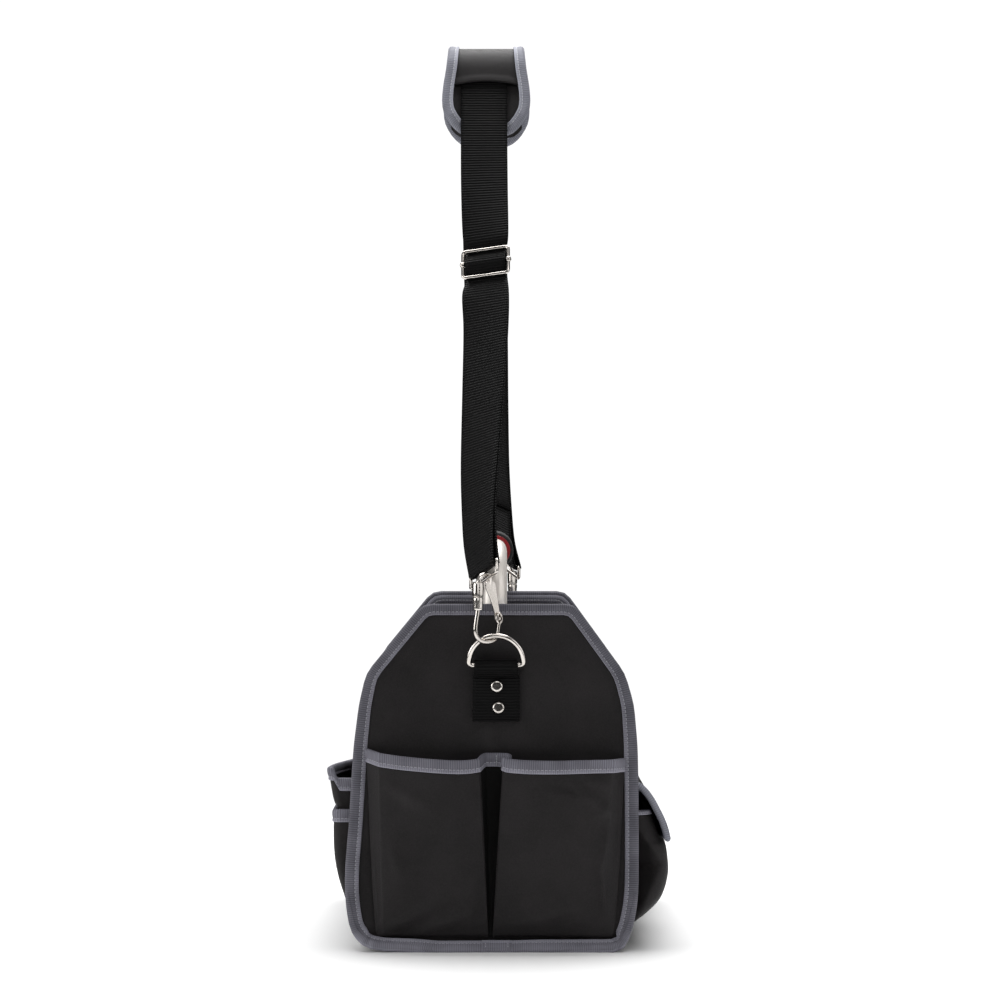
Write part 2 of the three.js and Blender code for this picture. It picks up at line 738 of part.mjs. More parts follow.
function addSidePocket(side, name, { rows, ...form }) {
  const heights = rows.map((row) => row.height);
  const outer = pocketBlock(rows.map((row) => pocketPlan(side, row, form, 0)), heights);
  const hollowPlans = rows.map((row) => {
    const plan = pocketPlan(side, row, form, POCKET_CLOTH);
    plan[0].x -= side.sign * HOLLOW_PAST;
    plan[plan.length - 1].x -= side.sign * HOLLOW_PAST;
    return plan;
  });
  const [lowest, highest] = [hollowPlans[0], hollowPlans[rows.length - 1]];
  const high = rows[rows.length - 1];
  const hollow = pocketBlock(
    [lowest, ...hollowPlans, highest],
    [heights[0] - HOLLOW_PAST, ...heights, high.height + HOLLOW_PAST],
  );
  add(name, cut(outer, hollow), BLACK_CLOTH);
  const tapeFoot = high.height - TAPE_FACE;
  const outerPlan = pocketPlan(side, high, form, 0, tapeFoot);
  const innerPlan = pocketPlan(side, high, form, POCKET_CLOTH, tapeFoot);
  const stops = outerPlan.map((point, index) => {
    const front = point.clone().sub(innerPlan[index]);
    const at = point.clone().addScaledVector(front, -0.5);
    front.divideScalar(POCKET_CLOTH);
    return { at: vec(at.x, at.y, high.height), out: AXIS_Z, front: vec(front.x, front.y, 0) };
  });
  add(`${name}_tape`, tape(stops, POCKET_CLOTH, { back: SIDE_TAPE_BACK }), GREY_TAPE);
}

function addFlap() {
  const stations = Array.from({ length: FLAP_STATIONS + 1 }, (_, index) => {
    return FLAP_HALF_LENGTH * ((2 * index) / FLAP_STATIONS - 1);
  });
  const grid = FLAP.map(({ x, height }) => stations.map((y) => vec(x, y, height)));
  const under = offsetGrid(grid, -FLAP_CLOTH);
  add("right_flap", slab(grid, under), BLACK_CLOTH);
  const tip = grid.length - 1;
  const tipWay = grid[tip][0].clone().sub(grid[tip - 1][0]).normalize();
  const edge = (column, outY) => grid.map((line, row) => {
    const front = line[column].clone().sub(under[row][column]).normalize();
    const out = vec(0, outY, 0);
    if (row === tip) {
      out.add(tipWay);
    }
    return { at: line[column].clone().lerp(under[row][column], 0.5), out, front };
  });
  const stops = [...edge(0, -1), ...edge(stations.length - 1, 1).reverse()];
  const flapTape = tape(stops, FLAP_CLOTH, { face: FLAP_TAPE_FACE, back: FLAP_TAPE_FACE });
  add("right_flap_tape", flapTape, GREY_TAPE);
}

// Tab, D-ring and rivets, drawn at the near end

const OUT = AXIS_Y.clone().negate();

function tabGeometry() {
  const eye = TAB_EYE + WEBBING;
  const shape = new THREE.Shape();
  shape.moveTo(SEAT_GAP, TAB_FOOT);
  shape.lineTo(SEAT_GAP + TAB_THICKNESS, TAB_FOOT);
  shape.lineTo(SEAT_GAP + TAB_THICKNESS, TAB_FLAT_TOP);
  shape.lineTo(RING_BAR_OUT + eye * Math.SQRT1_2, RING_BAR_HEIGHT - eye * Math.SQRT1_2);
  shape.absarc(RING_BAR_OUT, RING_BAR_HEIGHT, eye, -Math.PI / 4, Math.PI, false);
  const hole = new THREE.Path();
  hole.absarc(RING_BAR_OUT, RING_BAR_HEIGHT, TAB_EYE, 0, 2 * Math.PI, true);
  shape.holes.push(hole);
  const tab = extrude(shape, TAB_WIDTH);
  place(tab, vec(TAB_WIDTH / 2, -END_PLANE, 0), OUT, AXIS_Z);
  return cut(tab, ...rivetHoles());
}

function ringGeometry() {
  const outline = [
    ...arc(RING_HALF_WIDTH - RING_CORNER, RING_CORNER, RING_CORNER, RING_CORNER, -90, 0),
    ...arc(0, RING_CORNER, RING_HALF_WIDTH, RING_ARCH, 0, 180, RING_ARCH_STEPS).slice(1, -1),
    ...arc(RING_CORNER - RING_HALF_WIDTH, RING_CORNER, RING_CORNER, RING_CORNER, 180, 270),
  ];
  const up = along(vec(0, 0, 0), [AXIS_Z, Math.cos(RING_TILT)], [OUT, Math.sin(RING_TILT)]);
  const bar = vec(0, -END_PLANE - RING_BAR_OUT, RING_BAR_HEIGHT);
  const points = outline.map(([x, rise]) => along(bar, [AXIS_X, x], [up, rise]));
  return wire(points, AXIS_X.clone().cross(up), evenly(RING_WIRE), { closed: true });
}

function rivetGeometry() {
  const seat = SEAT_GAP + TAB_THICKNESS + SEAT_GAP;
  const tail = -(END_CLOTH + SEAT_GAP + 2 * FLAT_HALF_THICKNESS + SEAT_GAP);
  const profile = [
    [0, seat + RIVET_DOME],
    [RIVET_HEAD * 0.55, seat + RIVET_DOME * 0.85],
    [RIVET_HEAD * 0.9, seat + RIVET_DOME * 0.45],
    [RIVET_HEAD, seat],
    [RIVET_SHANK, seat],
    [RIVET_SHANK, tail],
    [RIVET_TAIL, tail],
    [RIVET_TAIL, tail - RIVET_TAIL_THICKNESS],
    [0, tail - RIVET_TAIL_THICKNESS],
  ];
  const points = profile.map(([radius, out]) => new THREE.Vector2(radius, -out));
  return new THREE.LatheGeometry(points, ROUND_SEGMENTS);
}

// Strap path

// Where a straight run of the strap is at a height: its middle, way up, width and outer face
function runAt(end, height) {
  const table = end.sign < 0 ? NEAR_RUN : FAR_RUN;
  const tangentHeight = CROWN_TOP - CROWN_RADIUS + CROWN_RADIUS * Math.sin(STRAP_LEAN);
  const spread = CROWN_RADIUS * Math.cos(STRAP_LEAN) + (tangentHeight - height) * Math.tan(STRAP_LEAN);
  const twist = THREE.MathUtils.degToRad(lookUp(table, "height", height, "twist"));
  const outward = vec(0, end.sign * Math.cos(STRAP_LEAN), Math.sin(STRAP_LEAN));
  return {
    at: vec(lookUp(table, "height", height, "x"), end.sign * spread, height),
    up: vec(0, -end.sign * Math.sin(STRAP_LEAN), Math.cos(STRAP_LEAN)),
    across: along(vec(0, 0, 0), [AXIS_X, Math.cos(twist)], [outward, Math.sin(twist)]),
    front: along(vec(0, 0, 0), [outward, Math.cos(twist)], [AXIS_X, -Math.sin(twist)]),
  };
}

// The strap's middle line over the crown, by distance from the top, positive towards the far end
function crownAt(distance) {
  const sign = Math.sign(distance) || 1;
  const turnEnd = CROWN_RADIUS * (Math.PI / 2 - STRAP_LEAN);
  const turned = Math.min(Math.abs(distance), turnEnd);
  const angle = turned / CROWN_RADIUS;
  const front = vec(0, sign * Math.sin(angle), Math.cos(angle));
  const way = vec(0, Math.cos(angle), -sign * Math.sin(angle));
  const centre = vec(CROWN_X, 0, CROWN_TOP - CROWN_RADIUS);
  const at = along(centre, [front, CROWN_RADIUS], [way, sign * (Math.abs(distance) - turned)]);
  return { at, way, front };
}

const NEAR = { sign: -1, name: "near" };
const FAR = { sign: 1, name: "far" };
const WRAP = LOOP_WIRE + SEAT_GAP + WEBBING / 2; // strap's middle line round a loop bar

function layerOffset(height) {
  const share = Math.min(1, (height - STRAP_FOOT) / LAYER_JOIN);
  return THREE.MathUtils.lerp(WRAP, LAYER_OFFSET, share);
}

// One stop of the strap on a run, off the middle line by a distance, its face turned by a sign
function runStop(end, height, offset, facing) {
  const run = runAt(end, height);
  const at = along(run.at, [run.front, offset]);
  return { at, across: run.across, face: run.front.clone().multiplyScalar(facing) };
}

// The turn round a loop bar, from one face of the strap to the other
function loopTurn(end, fromInner) {
  const run = runAt(end, STRAP_FOOT);
  const ordered = fromInner ? TURN_ANGLES : [...TURN_ANGLES].reverse();
  return ordered.map((degrees) => {
    const angle = THREE.MathUtils.degToRad(degrees);
    const face = along(vec(0, 0, 0), [run.front, Math.cos(angle)], [run.up, -Math.sin(angle)]);
    return { at: along(run.at, [face, WRAP]), across: run.across, face };
  });
}

// A stop in the slider's own frame
function sliderStop({ rise, offset, width }, facing) {
  const run = runAt(NEAR, SLIDER_HEIGHT);
  return {
    at: along(run.at, [run.up, rise], [run.front, offset]),
    across: run.across.clone().multiplyScalar(width),
    face: run.front.clone().multiplyScalar(facing),
  };
}

function strapStops() {
  const heights = NEAR_RUN.map((row) => row.height);
  const lower = heights.filter((height) => height < SLIDER_HEIGHT);
  const upper = heights.filter((height) => height > SLIDER_HEIGHT);
  const stops = SLIDER_INNER.map((row) => sliderStop(row, -1));
  for (const height of [...lower].reverse()) {
    stops.push(runStop(NEAR, height, -layerOffset(height), -1));
  }
  stops.push(...loopTurn(NEAR, true));
  for (const height of lower) {
    stops.push(runStop(NEAR, height, layerOffset(height), 1));
  }
  stops.push(...SLIDER_OUTER.map((row) => sliderStop(row, 1)));
  for (const height of upper) {
    stops.push(runStop(NEAR, height, 0, 1));
  }
  for (const { distance } of PAD_ROWS.filter((row) => Math.abs(row.distance) < STRAP_CROWN)) {
    const crown = crownAt(distance);
    stops.push({ at: crown.at, across: AXIS_X, face: crown.front });
  }
  for (const { height } of [...FAR_RUN].reverse()) {
    const doubled = height < STRAP_FOOT + 2 * FAR_TURN_BACK;
    stops.push(runStop(FAR, height, doubled ? layerOffset(height) : 0, 1));
  }
  stops.push(...loopTurn(FAR, false));
  for (const rise of [0, 0.5, 1]) {
    const height = STRAP_FOOT + rise * FAR_TURN_BACK;
    stops.push(runStop(FAR, height, -layerOffset(height), -1));
  }
  return stops;
}

function strapGeometry() {
  const half = WEBBING_WIDTH / 2;
  const profile = [[-1, -1], [1, -1], [1, 1], [-1, 1]].map(([x, y]) => new THREE.Vector2(x, y));
  const rings = strapStops().map(({ at, across, face }) => {
    return profile.map(({ x, y }) => along(at, [across, x * half], [face, (y * WEBBING) / 2]));
  });
  return sweep(rings, profile);
}

// Loop, hook and gate, drawn at the near end

const FOOT_RUN = runAt(NEAR, STRAP_FOOT);
const HOOK_HEAD = along(FOOT_RUN.at, [FOOT_RUN.up, -LOOP_HEIGHT], [FOOT_RUN.across, HOOK_OFF_CENTRE]);
const HOOK_ACROSS = vec(Math.cos(HOOK_TURN), Math.sin(HOOK_TURN), 0);
const HOOK_NORMAL = HOOK_ACROSS.clone().cross(AXIS_Z);
const BOW = along(HOOK_HEAD, [HOOK_ACROSS, -HOOK_EYE_ACROSS]).setZ(0); // under the bow's lowest point

function loopGeometry() {
  const outline = roundedRectangle(LOOP_HALF_WIDTH, -LOOP_HEIGHT, 0, LOOP_CORNER);
  const points = outline.map(([across, up]) => {
    return along(FOOT_RUN.at, [FOOT_RUN.across, across], [FOOT_RUN.up, up]);
  });
  return wire(points, FOOT_RUN.front, evenly(LOOP_WIRE), { closed: true });
}

// A flat outline in the hook's plane, given thickness along the hook's normal
function hookPlate(shape, back, front) {
  return place(extrude(shape, front - back), along(BOW, [HOOK_NORMAL, back]), HOOK_ACROSS, AXIS_Z);
}

function hookPin(radius, back, front) {
  const circle = new THREE.Shape();
  circle.absarc(GATE_PIVOT.across, GATE_PIVOT.height, radius, 0, 2 * Math.PI, false);
  return hookPlate(circle, back, front);
}

// Sheet body: a barrel round the loop bar and a leg that is crimped on the hook's wire
function hookBody() {
  const shape = new THREE.Shape(HOOK_BODY.map(({ across, height }) => new THREE.Vector2(across, height)));
  const eye = new THREE.Path();
  eye.absarc(HOOK_EYE_ACROSS, HOOK_HEAD.z, HOOK_EYE, 0, 2 * Math.PI, true);
  shape.holes.push(eye);
  return hookPlate(shape, -HOOK_BODY_DEPTH / 2, HOOK_BODY_DEPTH / 2);
}

// Thin leaf that runs from the barrel down to the gate's pin
function hookLeaf() {
  const shape = new THREE.Shape(HOOK_LEAF.map(({ across, height }) => new THREE.Vector2(across, height)));
  shape.absarc(GATE_PIVOT.across, GATE_PIVOT.height, GATE_HEAD, Math.PI, 2 * Math.PI, false);
  return hookPlate(shape, LEAF_BACK, LEAF_FRONT);
}

// Round wire from the crimped leg down, through the D-ring and up to the nose
function hookBow() {
  const points = HOOK_BOW.map(({ across, height }) => {
    return along(BOW, [HOOK_ACROSS, across], [AXIS_Z, height]);
  });
  return wire(points, HOOK_NORMAL, evenly(HOOK_WIRE), { sides: ROUND_SEGMENTS });
}

function hookGeometry() {
  const pin = hookPin(PIN, LEAF_BACK + SEAT_GAP, PIN_HEAD_FRONT - SEAT_GAP);
  const pinHead = hookPin(PIN_HEAD, PIN_HEAD_BACK, PIN_HEAD_FRONT);
  return join(hookBody(), hookLeaf(), hookBow(), pin, pinHead);
}

function gateGeometry() {
  const { across, height } = GATE_PIVOT;
  const shape = new THREE.Shape();
  shape.moveTo(across + GATE_HEAD, height);
  shape.absarc(across, height, GATE_HEAD, 0, Math.PI, false);
  shape.lineTo(GATE_TIP.across - GATE_TIP.half, GATE_TIP.height);
  shape.absarc(GATE_TIP.across, GATE_TIP.height, GATE_TIP.half, Math.PI, 2 * Math.PI, false);
  const bore = new THREE.Path();
  bore.absarc(across, height, GATE_BORE, 0, 2 * Math.PI, true);
  shape.holes.push(bore);
  return hookPlate(shape, GATE_BACK, GATE_FRONT);
}

// Slider

function sliderPoint(across, up) {
  const run = runAt(NEAR, SLIDER_HEIGHT);
  return along(run.at, [run.across, across], [run.up, up]);
}

function sliderFrame() {
  const high = SLIDER_HALF_HEIGHT;
  const outline = roundedRectangle(SLIDER_HALF_WIDTH, -high, high, SLIDER_CORNER);
  const points = outline.map(([across, up]) => sliderPoint(across, up));
  return wire(points, runAt(NEAR, SLIDER_HEIGHT).front, evenly(SLIDER_WIRE), { closed: true });
}

// Drawn along Y and then laid across the strap: a bar whose drilled ball ends ride on the frame
function sliderBar() {
  const run = runAt(NEAR, SLIDER_HEIGHT);
  const ends = [-SLIDER_HALF_WIDTH, SLIDER_HALF_WIDTH];
  const balls = ends.map((y) => {
    return new THREE.SphereGeometry(SLIDER_BALL, ROUND_SEGMENTS, ROUND_SEGMENTS - 2).translate(0, y, 0);
  });
  const bores = ends.map((y) => {
    const length = 4 * SLIDER_BALL;
    const bore = new THREE.CylinderGeometry(SLIDER_BALL_BORE, SLIDER_BALL_BORE, length, ROUND_SEGMENTS);
    return bore.rotateX(Math.PI / 2).translate(0, y, 0);
  });
  const bar = join(barAlongY(SLIDER_BAR, ...ends), ...balls);
  return place(cut(bar, ...bores), run.at, run.front.clone().negate(), run.across);
}

// Shoulder pad, its edge tape and the sleeve that covers the strap on it

function padPoint(distance, across, rise) {
  const crown = crownAt(distance);
  return along(crown.at, [AXIS_X, across], [crown.front, rise]);
}

// Cloth edge of the pad laid flat, distance by width: up its left side and back down its right
function padOutline() {
  const left = PAD_ROWS.map(({ distance, half }) => new THREE.Vector2(distance, -half));
  const right = PAD_ROWS.map(({ distance, half }) => new THREE.Vector2(distance, half)).reverse();
  return clothOutline([...left, ...right]);
}

function padHalfThickness(distance, across, half) {
  const inside = Math.min(half - Math.abs(across), PAD_LENGTH - Math.abs(distance));
  const swell = THREE.MathUtils.smoothstep(inside, PAD_THIN, PAD_THIN + PAD_RAMP);
  return THREE.MathUtils.lerp(PAD_EDGE, PAD_THICKNESS, swell) / 2;
}

// One face of the pad; across it lie its edge, where it starts to swell, where it is full, its middle
function padGrid(sign) {
  const outline = padOutline();
  return PAD_ROWS.map(({ half }, row) => {
    const { x: distance, y: edge } = outline[row].point;
    const swellStart = Math.min(PAD_THIN - half, edge * PAD_END_SHARE);
    const full = Math.min(PAD_THIN + PAD_RAMP - half, swellStart * PAD_END_SHARE);
    const columns = [edge, swellStart, full, 0, -full, -swellStart, -edge];
    return columns.map((across) => {
      const rise = sign * padHalfThickness(distance, across, half) - PAD_DROP;
      return padPoint(distance, across, rise);
    });
  });
}

function padTape() {
  const stops = padOutline().map(({ point, out }) => {
    const crown = crownAt(point.x);
    return {
      at: padPoint(point.x, point.y, -PAD_DROP),
      out: along(vec(0, 0, 0), [crown.way, out.x], [AXIS_X, out.y]),
      front: crown.front,
    };
  });
  return tape(stops, PAD_EDGE, { face: PAD_TAPE_FACE, back: PAD_TAPE_FACE, closed: true });
}

// Top face of the sleeve, its two hems drawn in along the middle
function sleeveGrid() {
  const rows = PAD_ROWS.filter(({ distance }) => Math.abs(distance) <= SLEEVE_END);
  const overStrap = WEBBING / 2 + SEAT_GAP + SLEEVE_CLOTH;
  return rows.map(({ distance, half }) => {
    const edge = half - PAD_THIN;
    const section = [
      [-edge, SLEEVE_SIDE_DROP], [-SLEEVE_STRAP_HALF, overStrap], [0, overStrap],
      [SLEEVE_STRAP_HALF, overStrap], [edge, SLEEVE_SIDE_DROP],
    ];
    const hemmed = Math.abs(distance) === SLEEVE_END;
    return section.map(([across, rise]) => {
      const drawn = hemmed ? SLEEVE_HEM_CURVE * (1 - (across / edge) ** 2) : 0;
      return padPoint(distance - Math.sign(distance) * drawn, across, rise);
    });
  });
}

// Handle

function handlePath() {
  const flatY = END_PLANE - END_CLOTH - SEAT_GAP - FLAT_HALF_THICKNESS;
  const roundY = BASE_HALF_LENGTH - HANDLE_RADIUS;
  const leg = [
    { y: flatY, z: HANDLE_FOOT, flat: 1 },
    { y: flatY, z: FLAT_TOP, flat: 1 },
    { y: (flatY + roundY) / 2, z: (FLAT_TOP + ROUND_FROM) / 2, flat: 0.5 },
    { y: roundY, z: ROUND_FROM, flat: 0 },
  ];
  const [bendY, bendZ] = [roundY - HANDLE_BEND, HANDLE_TOP - HANDLE_BEND];
  const bend = arc(bendY, bendZ, HANDLE_BEND, HANDLE_BEND, 0, 90, HANDLE_BEND_STEPS);
  const half = [...leg, ...bend.map(([y, z]) => ({ y, z, flat: 0 }))];
  return [...half.map((stop) => ({ ...stop, y: -stop.y })), ...half.reverse()];
}

function handleTube(wall, past) {
  const path = handlePath();
  path[0].z -= past;
  path[path.length - 1].z -= past;
  const points = path.map(({ y, z }) => vec(HANDLE_X, y, z));
  const size = (index) => [
    THREE.MathUtils.lerp(HANDLE_RADIUS, FLAT_HALF_THICKNESS, path[index].flat) - wall,
    THREE.MathUtils.lerp(HANDLE_RADIUS, FLAT_HALF_WIDTH, path[index].flat) - wall,
  ];
  return wire(points, AXIS_X, size, { sides: TUBE_SIDES });
}

function gripRing(outer, inner, length) {
  const ring = new THREE.Shape();
  ring.absarc(0, 0, outer, 0, 2 * Math.PI, false);
  const bore = new THREE.Path();
  bore.absarc(0, 0, inner, 0, 2 * Math.PI, true);
  ring.holes.push(bore);
  return place(extrude(ring, length, GRIP_SIDES), vec(HANDLE_X, length / 2, HANDLE_TOP), AXIS_X, AXIS_Z);
}

// Assembly

add("base_panel", baseGeometry(), BLACK_CLOTH);
addSide(LEFT, "left");
addSide(RIGHT, "right");
for (const end of [NEAR, FAR]) {
  addEnd(end);
  addEndPocket(end);
}
addSidePocket(LEFT, "left_upper_pocket", LEFT_UPPER);
addSidePocket(LEFT, "left_lower_pocket", LEFT_LOWER);
addSidePocket(RIGHT, "right_pouch", POUCH);
addFlap();

for (const end of [NEAR, FAR]) {
  const hardware = new THREE.Group();
  hardware.rotation.z = end.sign < 0 ? 0 : Math.PI;
  bag.add(hardware);
  add(`ring_tab_${end.name}`, tabGeometry(), BLACK_WEBBING, hardware);
  add(`d_ring_${end.name}`, ringGeometry(), NICKEL, hardware);
  for (const { name, x, height } of RIVETS) {
    const rivet = add(`rivet_${end.name}_${name}`, rivetGeometry(), NICKEL, hardware);
    rivet.position.set(x, -END_PLANE, height);
  }
  add(`strap_loop_${end.name}`, loopGeometry(), NICKEL, hardware);
  add(`hook_${end.name}`, hookGeometry(), NICKEL, hardware);
  add(`hook_gate_${end.name}`, gateGeometry(), NICKEL, hardware);
}

const tubeHollow = handleTube(HANDLE_WALL, HANDLE_WALL);
const tube = cut(handleTube(0, 0), tubeHollow, ...endHoles(NEAR), ...endHoles(FAR));
add("handle_tube", tube, SATIN_TUBE);
const gripBore = HANDLE_RADIUS + SEAT_GAP;
add("grip_core", gripRing(GRIP_CORE_RADIUS, gripBore, GRIP_LENGTH + 2 * GRIP_CORE_PROUD), RED_GRIP);
add("grip_cover", gripRing(GRIP_RADIUS, GRIP_CORE_RADIUS + SEAT_GAP, GRIP_LENGTH), DARK_GRIP);

add("shoulder_strap", strapGeometry(), BLACK_WEBBING);
add("slider_frame", sliderFrame(), NICKEL);
add("slider_bar", sliderBar(), NICKEL);
add("shoulder_pad", slab(padGrid(1), padGrid(-1)), BLACK_CLOTH);
add("pad_tape", padTape(), GREY_TAPE);
const sleeve = sleeveGrid();
add("pad_sleeve", slab(sleeve, offsetGrid(sleeve, SLEEVE_CLOTH)), BLACK_CLOTH);

export default bag;
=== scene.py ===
import math

import bmesh
import bpy
import numpy as np
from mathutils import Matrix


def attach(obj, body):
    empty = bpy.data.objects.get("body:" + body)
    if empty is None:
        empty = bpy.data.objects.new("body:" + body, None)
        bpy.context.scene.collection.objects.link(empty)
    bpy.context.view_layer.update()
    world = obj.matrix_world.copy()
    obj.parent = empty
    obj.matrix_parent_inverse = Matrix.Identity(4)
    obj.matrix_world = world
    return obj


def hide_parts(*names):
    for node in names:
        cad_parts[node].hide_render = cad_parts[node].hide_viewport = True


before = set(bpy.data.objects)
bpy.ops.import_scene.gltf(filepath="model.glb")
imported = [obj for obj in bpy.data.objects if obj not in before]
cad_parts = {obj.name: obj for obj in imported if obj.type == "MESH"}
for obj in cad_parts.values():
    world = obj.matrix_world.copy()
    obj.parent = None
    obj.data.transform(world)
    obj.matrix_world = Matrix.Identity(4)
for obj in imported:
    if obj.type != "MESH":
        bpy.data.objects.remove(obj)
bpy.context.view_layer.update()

# Studio: a pale floor that runs out to white, and a camera level with the middle of the bag and far
# off. One wide soft light hangs overhead and one in front; two on each side draw lines on the metal.

scene = bpy.context.scene
scene.view_settings.view_transform = "Standard"


def aim(thing, place, target):
    thing.location = place
    way = np.subtract(target, place)
    yaw = math.atan2(way[1], way[0]) - math.pi / 2
    pitch = math.atan2(way[2], math.hypot(way[0], way[1])) + math.pi / 2
    thing.rotation_euler = (pitch, 0, yaw)
    scene.collection.objects.link(thing)


lens = bpy.data.cameras.new("camera")
lens.lens = 131.2
camera = bpy.data.objects.new("camera", lens)
aim(camera, (0.003, -3.025, 0.349), (0.003, 0, 0.349))
scene.camera = camera

for lamp, place, target, size, power in [
    ("overhead", (0.0, 0.8, 2.2), (0, 0.1, 0.2), (2.4, 2.0), 86),
    ("left_box", (-1.75, -1.25, 0.8), (0, -0.1, 0.35), (0.9, 1.5), 7.2),
    ("right_box", (1.75, -1.25, 0.8), (0, -0.1, 0.35), (0.9, 1.5), 6.0),
    ("front_top", (0.3, -2.3, 2.3), (0, -0.2, 0.2), (1.6, 0.9), 12),
    ("left_strip", (-2.0, -0.3, 0.6), (0, 0, 0.2), (0.7, 1.1), 10),
    ("right_strip", (2.0, -0.35, 0.5), (0, 0, 0.3), (0.6, 1.1), 2.4),
]:
    light = bpy.data.lights.new(lamp, "AREA")
    light.shape = "RECTANGLE"
    light.size, light.size_y = size
    light.energy = power
    aim(bpy.data.objects.new(lamp, light), place, target)


class Field:
    """A shader socket. Sums on it add Math nodes, so a mask reads as a plain expression."""

    def __init__(self, tree, socket):
        self.tree = tree
        self.socket = socket

    def node(self, kind, settings, sockets, output=0):
        made = self.tree.nodes.new(kind)
        for name, value in settings.items():
            setattr(made, name, value)
        for name, value in sockets.items():
            if isinstance(value, Field):
                self.tree.links.new(value.socket, made.inputs[name])
            else:
                made.inputs[name].default_value = value
        return Field(self.tree, made.outputs[output])

    def maths(self, operation, first, second=0.0):
        return self.node("ShaderNodeMath", {"operation": operation}, {0: first, 1: second})

    def __add__(self, other):
        return self.maths("ADD", self, other)

    def __sub__(self, other):
        return self.maths("SUBTRACT", self, other)

    def __rsub__(self, other):
        return self.maths("SUBTRACT", other, self)

    def __mul__(self, other):
        return self.maths("MULTIPLY", self, other)

    def sine(self):
        return self.maths("SINE", self)

    def size(self):
        return self.maths("ABSOLUTE", self)

    def part(self, axis):
        """The X, Y or Z of a vector."""
        return self.node("ShaderNodeSeparateXYZ", {}, {"Vector": self}, axis)

    def step(self, low, high):
        """From 0 at low to 1 at high, smoothly."""
        ends = {"Value": self, "From Min": low, "From Max": high}
        return self.node("ShaderNodeMapRange", {"interpolation_type": "SMOOTHSTEP"}, ends)

    def between(self, first, second):
        """The first colour where this is 0, the second where it is 1."""
        colours = {"Factor": self, "A": (*first, 1), "B": (*second, 1)}
        return self.node("ShaderNodeMix", {"data_type": "RGBA"}, colours, 2)


def ground(material):
    """The start of a material's sums: its tree, with no socket yet."""
    material.use_nodes = True
    return Field(material.node_tree, None)


def link(material, colour=None, roughness=None, alpha=None):
    """Joins varying fields to the material's shader."""
    shader = material.node_tree.nodes["Principled BSDF"]
    for name, field in [("Base Color", colour), ("Roughness", roughness), ("Alpha", alpha)]:
        if field is not None:
            material.node_tree.links.new(field.socket, shader.inputs[name])


def relief(material, height, depth):
    """Bump of a depth in millimetres, from a height between 0 and 1."""
    bump = height.node("ShaderNodeBump", {}, {"Height": height, "Distance": depth / 1000, "Strength": 1.0})
    shader = material.node_tree.nodes["Principled BSDF"]
    material.node_tree.links.new(bump.socket, shader.inputs["Normal"])


def constants(material, **values):
    """Sets the shader's own sockets, named in lower case with _ for a space."""
    shader = material.node_tree.nodes["Principled BSDF"]
    for name, value in values.items():
        shader.inputs[name.replace("_", " ").title().replace("Ior", "IOR")].default_value = value


def speckle(start, scale, detail=2.0):
    """Noise of so many lumps in a metre, fixed to the object."""
    place = start.node("ShaderNodeTexCoord", {}, {}, "Object")
    return start.node("ShaderNodeTexNoise", {}, {"Vector": place, "Scale": scale, "Detail": detail})


world = bpy.data.worlds.new("studio")
world.use_nodes = True
scene.world = world
air = Field(world.node_tree, None)
seen = air.node("ShaderNodeLightPath", {}, {}, "Is Camera Ray")
direction = air.node("ShaderNodeTexCoord", {}, {}, "Generated")
upward = direction.part("Z")
glow = upward.step(0.1, 0.9) * 0.3 + 0.03
backdrop = world.node_tree.nodes["Background"]
backdrop.inputs["Color"].default_value = (1.0, 1.0, 1.0, 1)
strength = seen * 1.05 + (1 - seen) * glow
world.node_tree.links.new(strength.socket, backdrop.inputs["Strength"])

floor_mesh = bpy.data.meshes.new("floor")
FLOOR = 9.0
floor_mesh.from_pydata(
    [(-FLOOR, -FLOOR, 0), (FLOOR, -FLOOR, 0), (FLOOR, FLOOR, 0), (-FLOOR, FLOOR, 0)], [], [(0, 1, 2, 3)])
floor = bpy.data.objects.new("floor", floor_mesh)
floor.location.z = -0.0006
scene.collection.objects.link(floor)
paper = bpy.data.materials.new("white_paper")
start = ground(paper)
place = start.node("ShaderNodeTexCoord", {}, {}, "Object")
away = start.node("ShaderNodeVectorMath", {"operation": "LENGTH"}, {0: place}, "Value")
paper_white = speckle(start, 3.0).between((0.93, 0.93, 0.93), (0.95, 0.95, 0.95))
link(paper, colour=paper_white, alpha=1 - away.step(0.7, 1.5))
constants(paper, roughness=0.9, specular_ior_level=0.1)
floor_mesh.materials.append(paper)

# Base and side walls: black polyester with a coated inside, stiffened by a sheet of board sewn in,
# turned up from the base in a round corner and held at each end by the taped seam.


def curve(points, steps):
    """A smooth line through rows of numbers, with so many steps from row to row."""
    rows = np.asarray(points, float)
    count = len(rows)
    share = np.arange(steps)[:, None] / steps
    out = []
    for index in range(count - 1):
        b, c = rows[index], rows[index + 1]
        a = rows[index - 1] if index else 2 * b - c
        d = rows[index + 2] if index + 2 < count else 2 * c - b
        bend = 2 * a - 5 * b + 4 * c - d + share * (3 * (b - c) + d - a)
        out.append(b + share / 2 * (c - a + share * bend))
    out.append(rows[-1:])
    return np.concatenate(out)


def unit(vectors):
    return vectors / np.maximum(np.linalg.norm(vectors, axis=-1, keepdims=True), 1e-9)


def lengths(points, axis):
    """Distance along a grid of points from its start, in metres."""
    steps = np.linalg.norm(np.diff(points, axis=axis), axis=-1)
    first = np.zeros_like(np.take(steps, [0], axis=axis))
    return np.concatenate([first, np.cumsum(steps, axis=axis)], axis=axis) / 1000


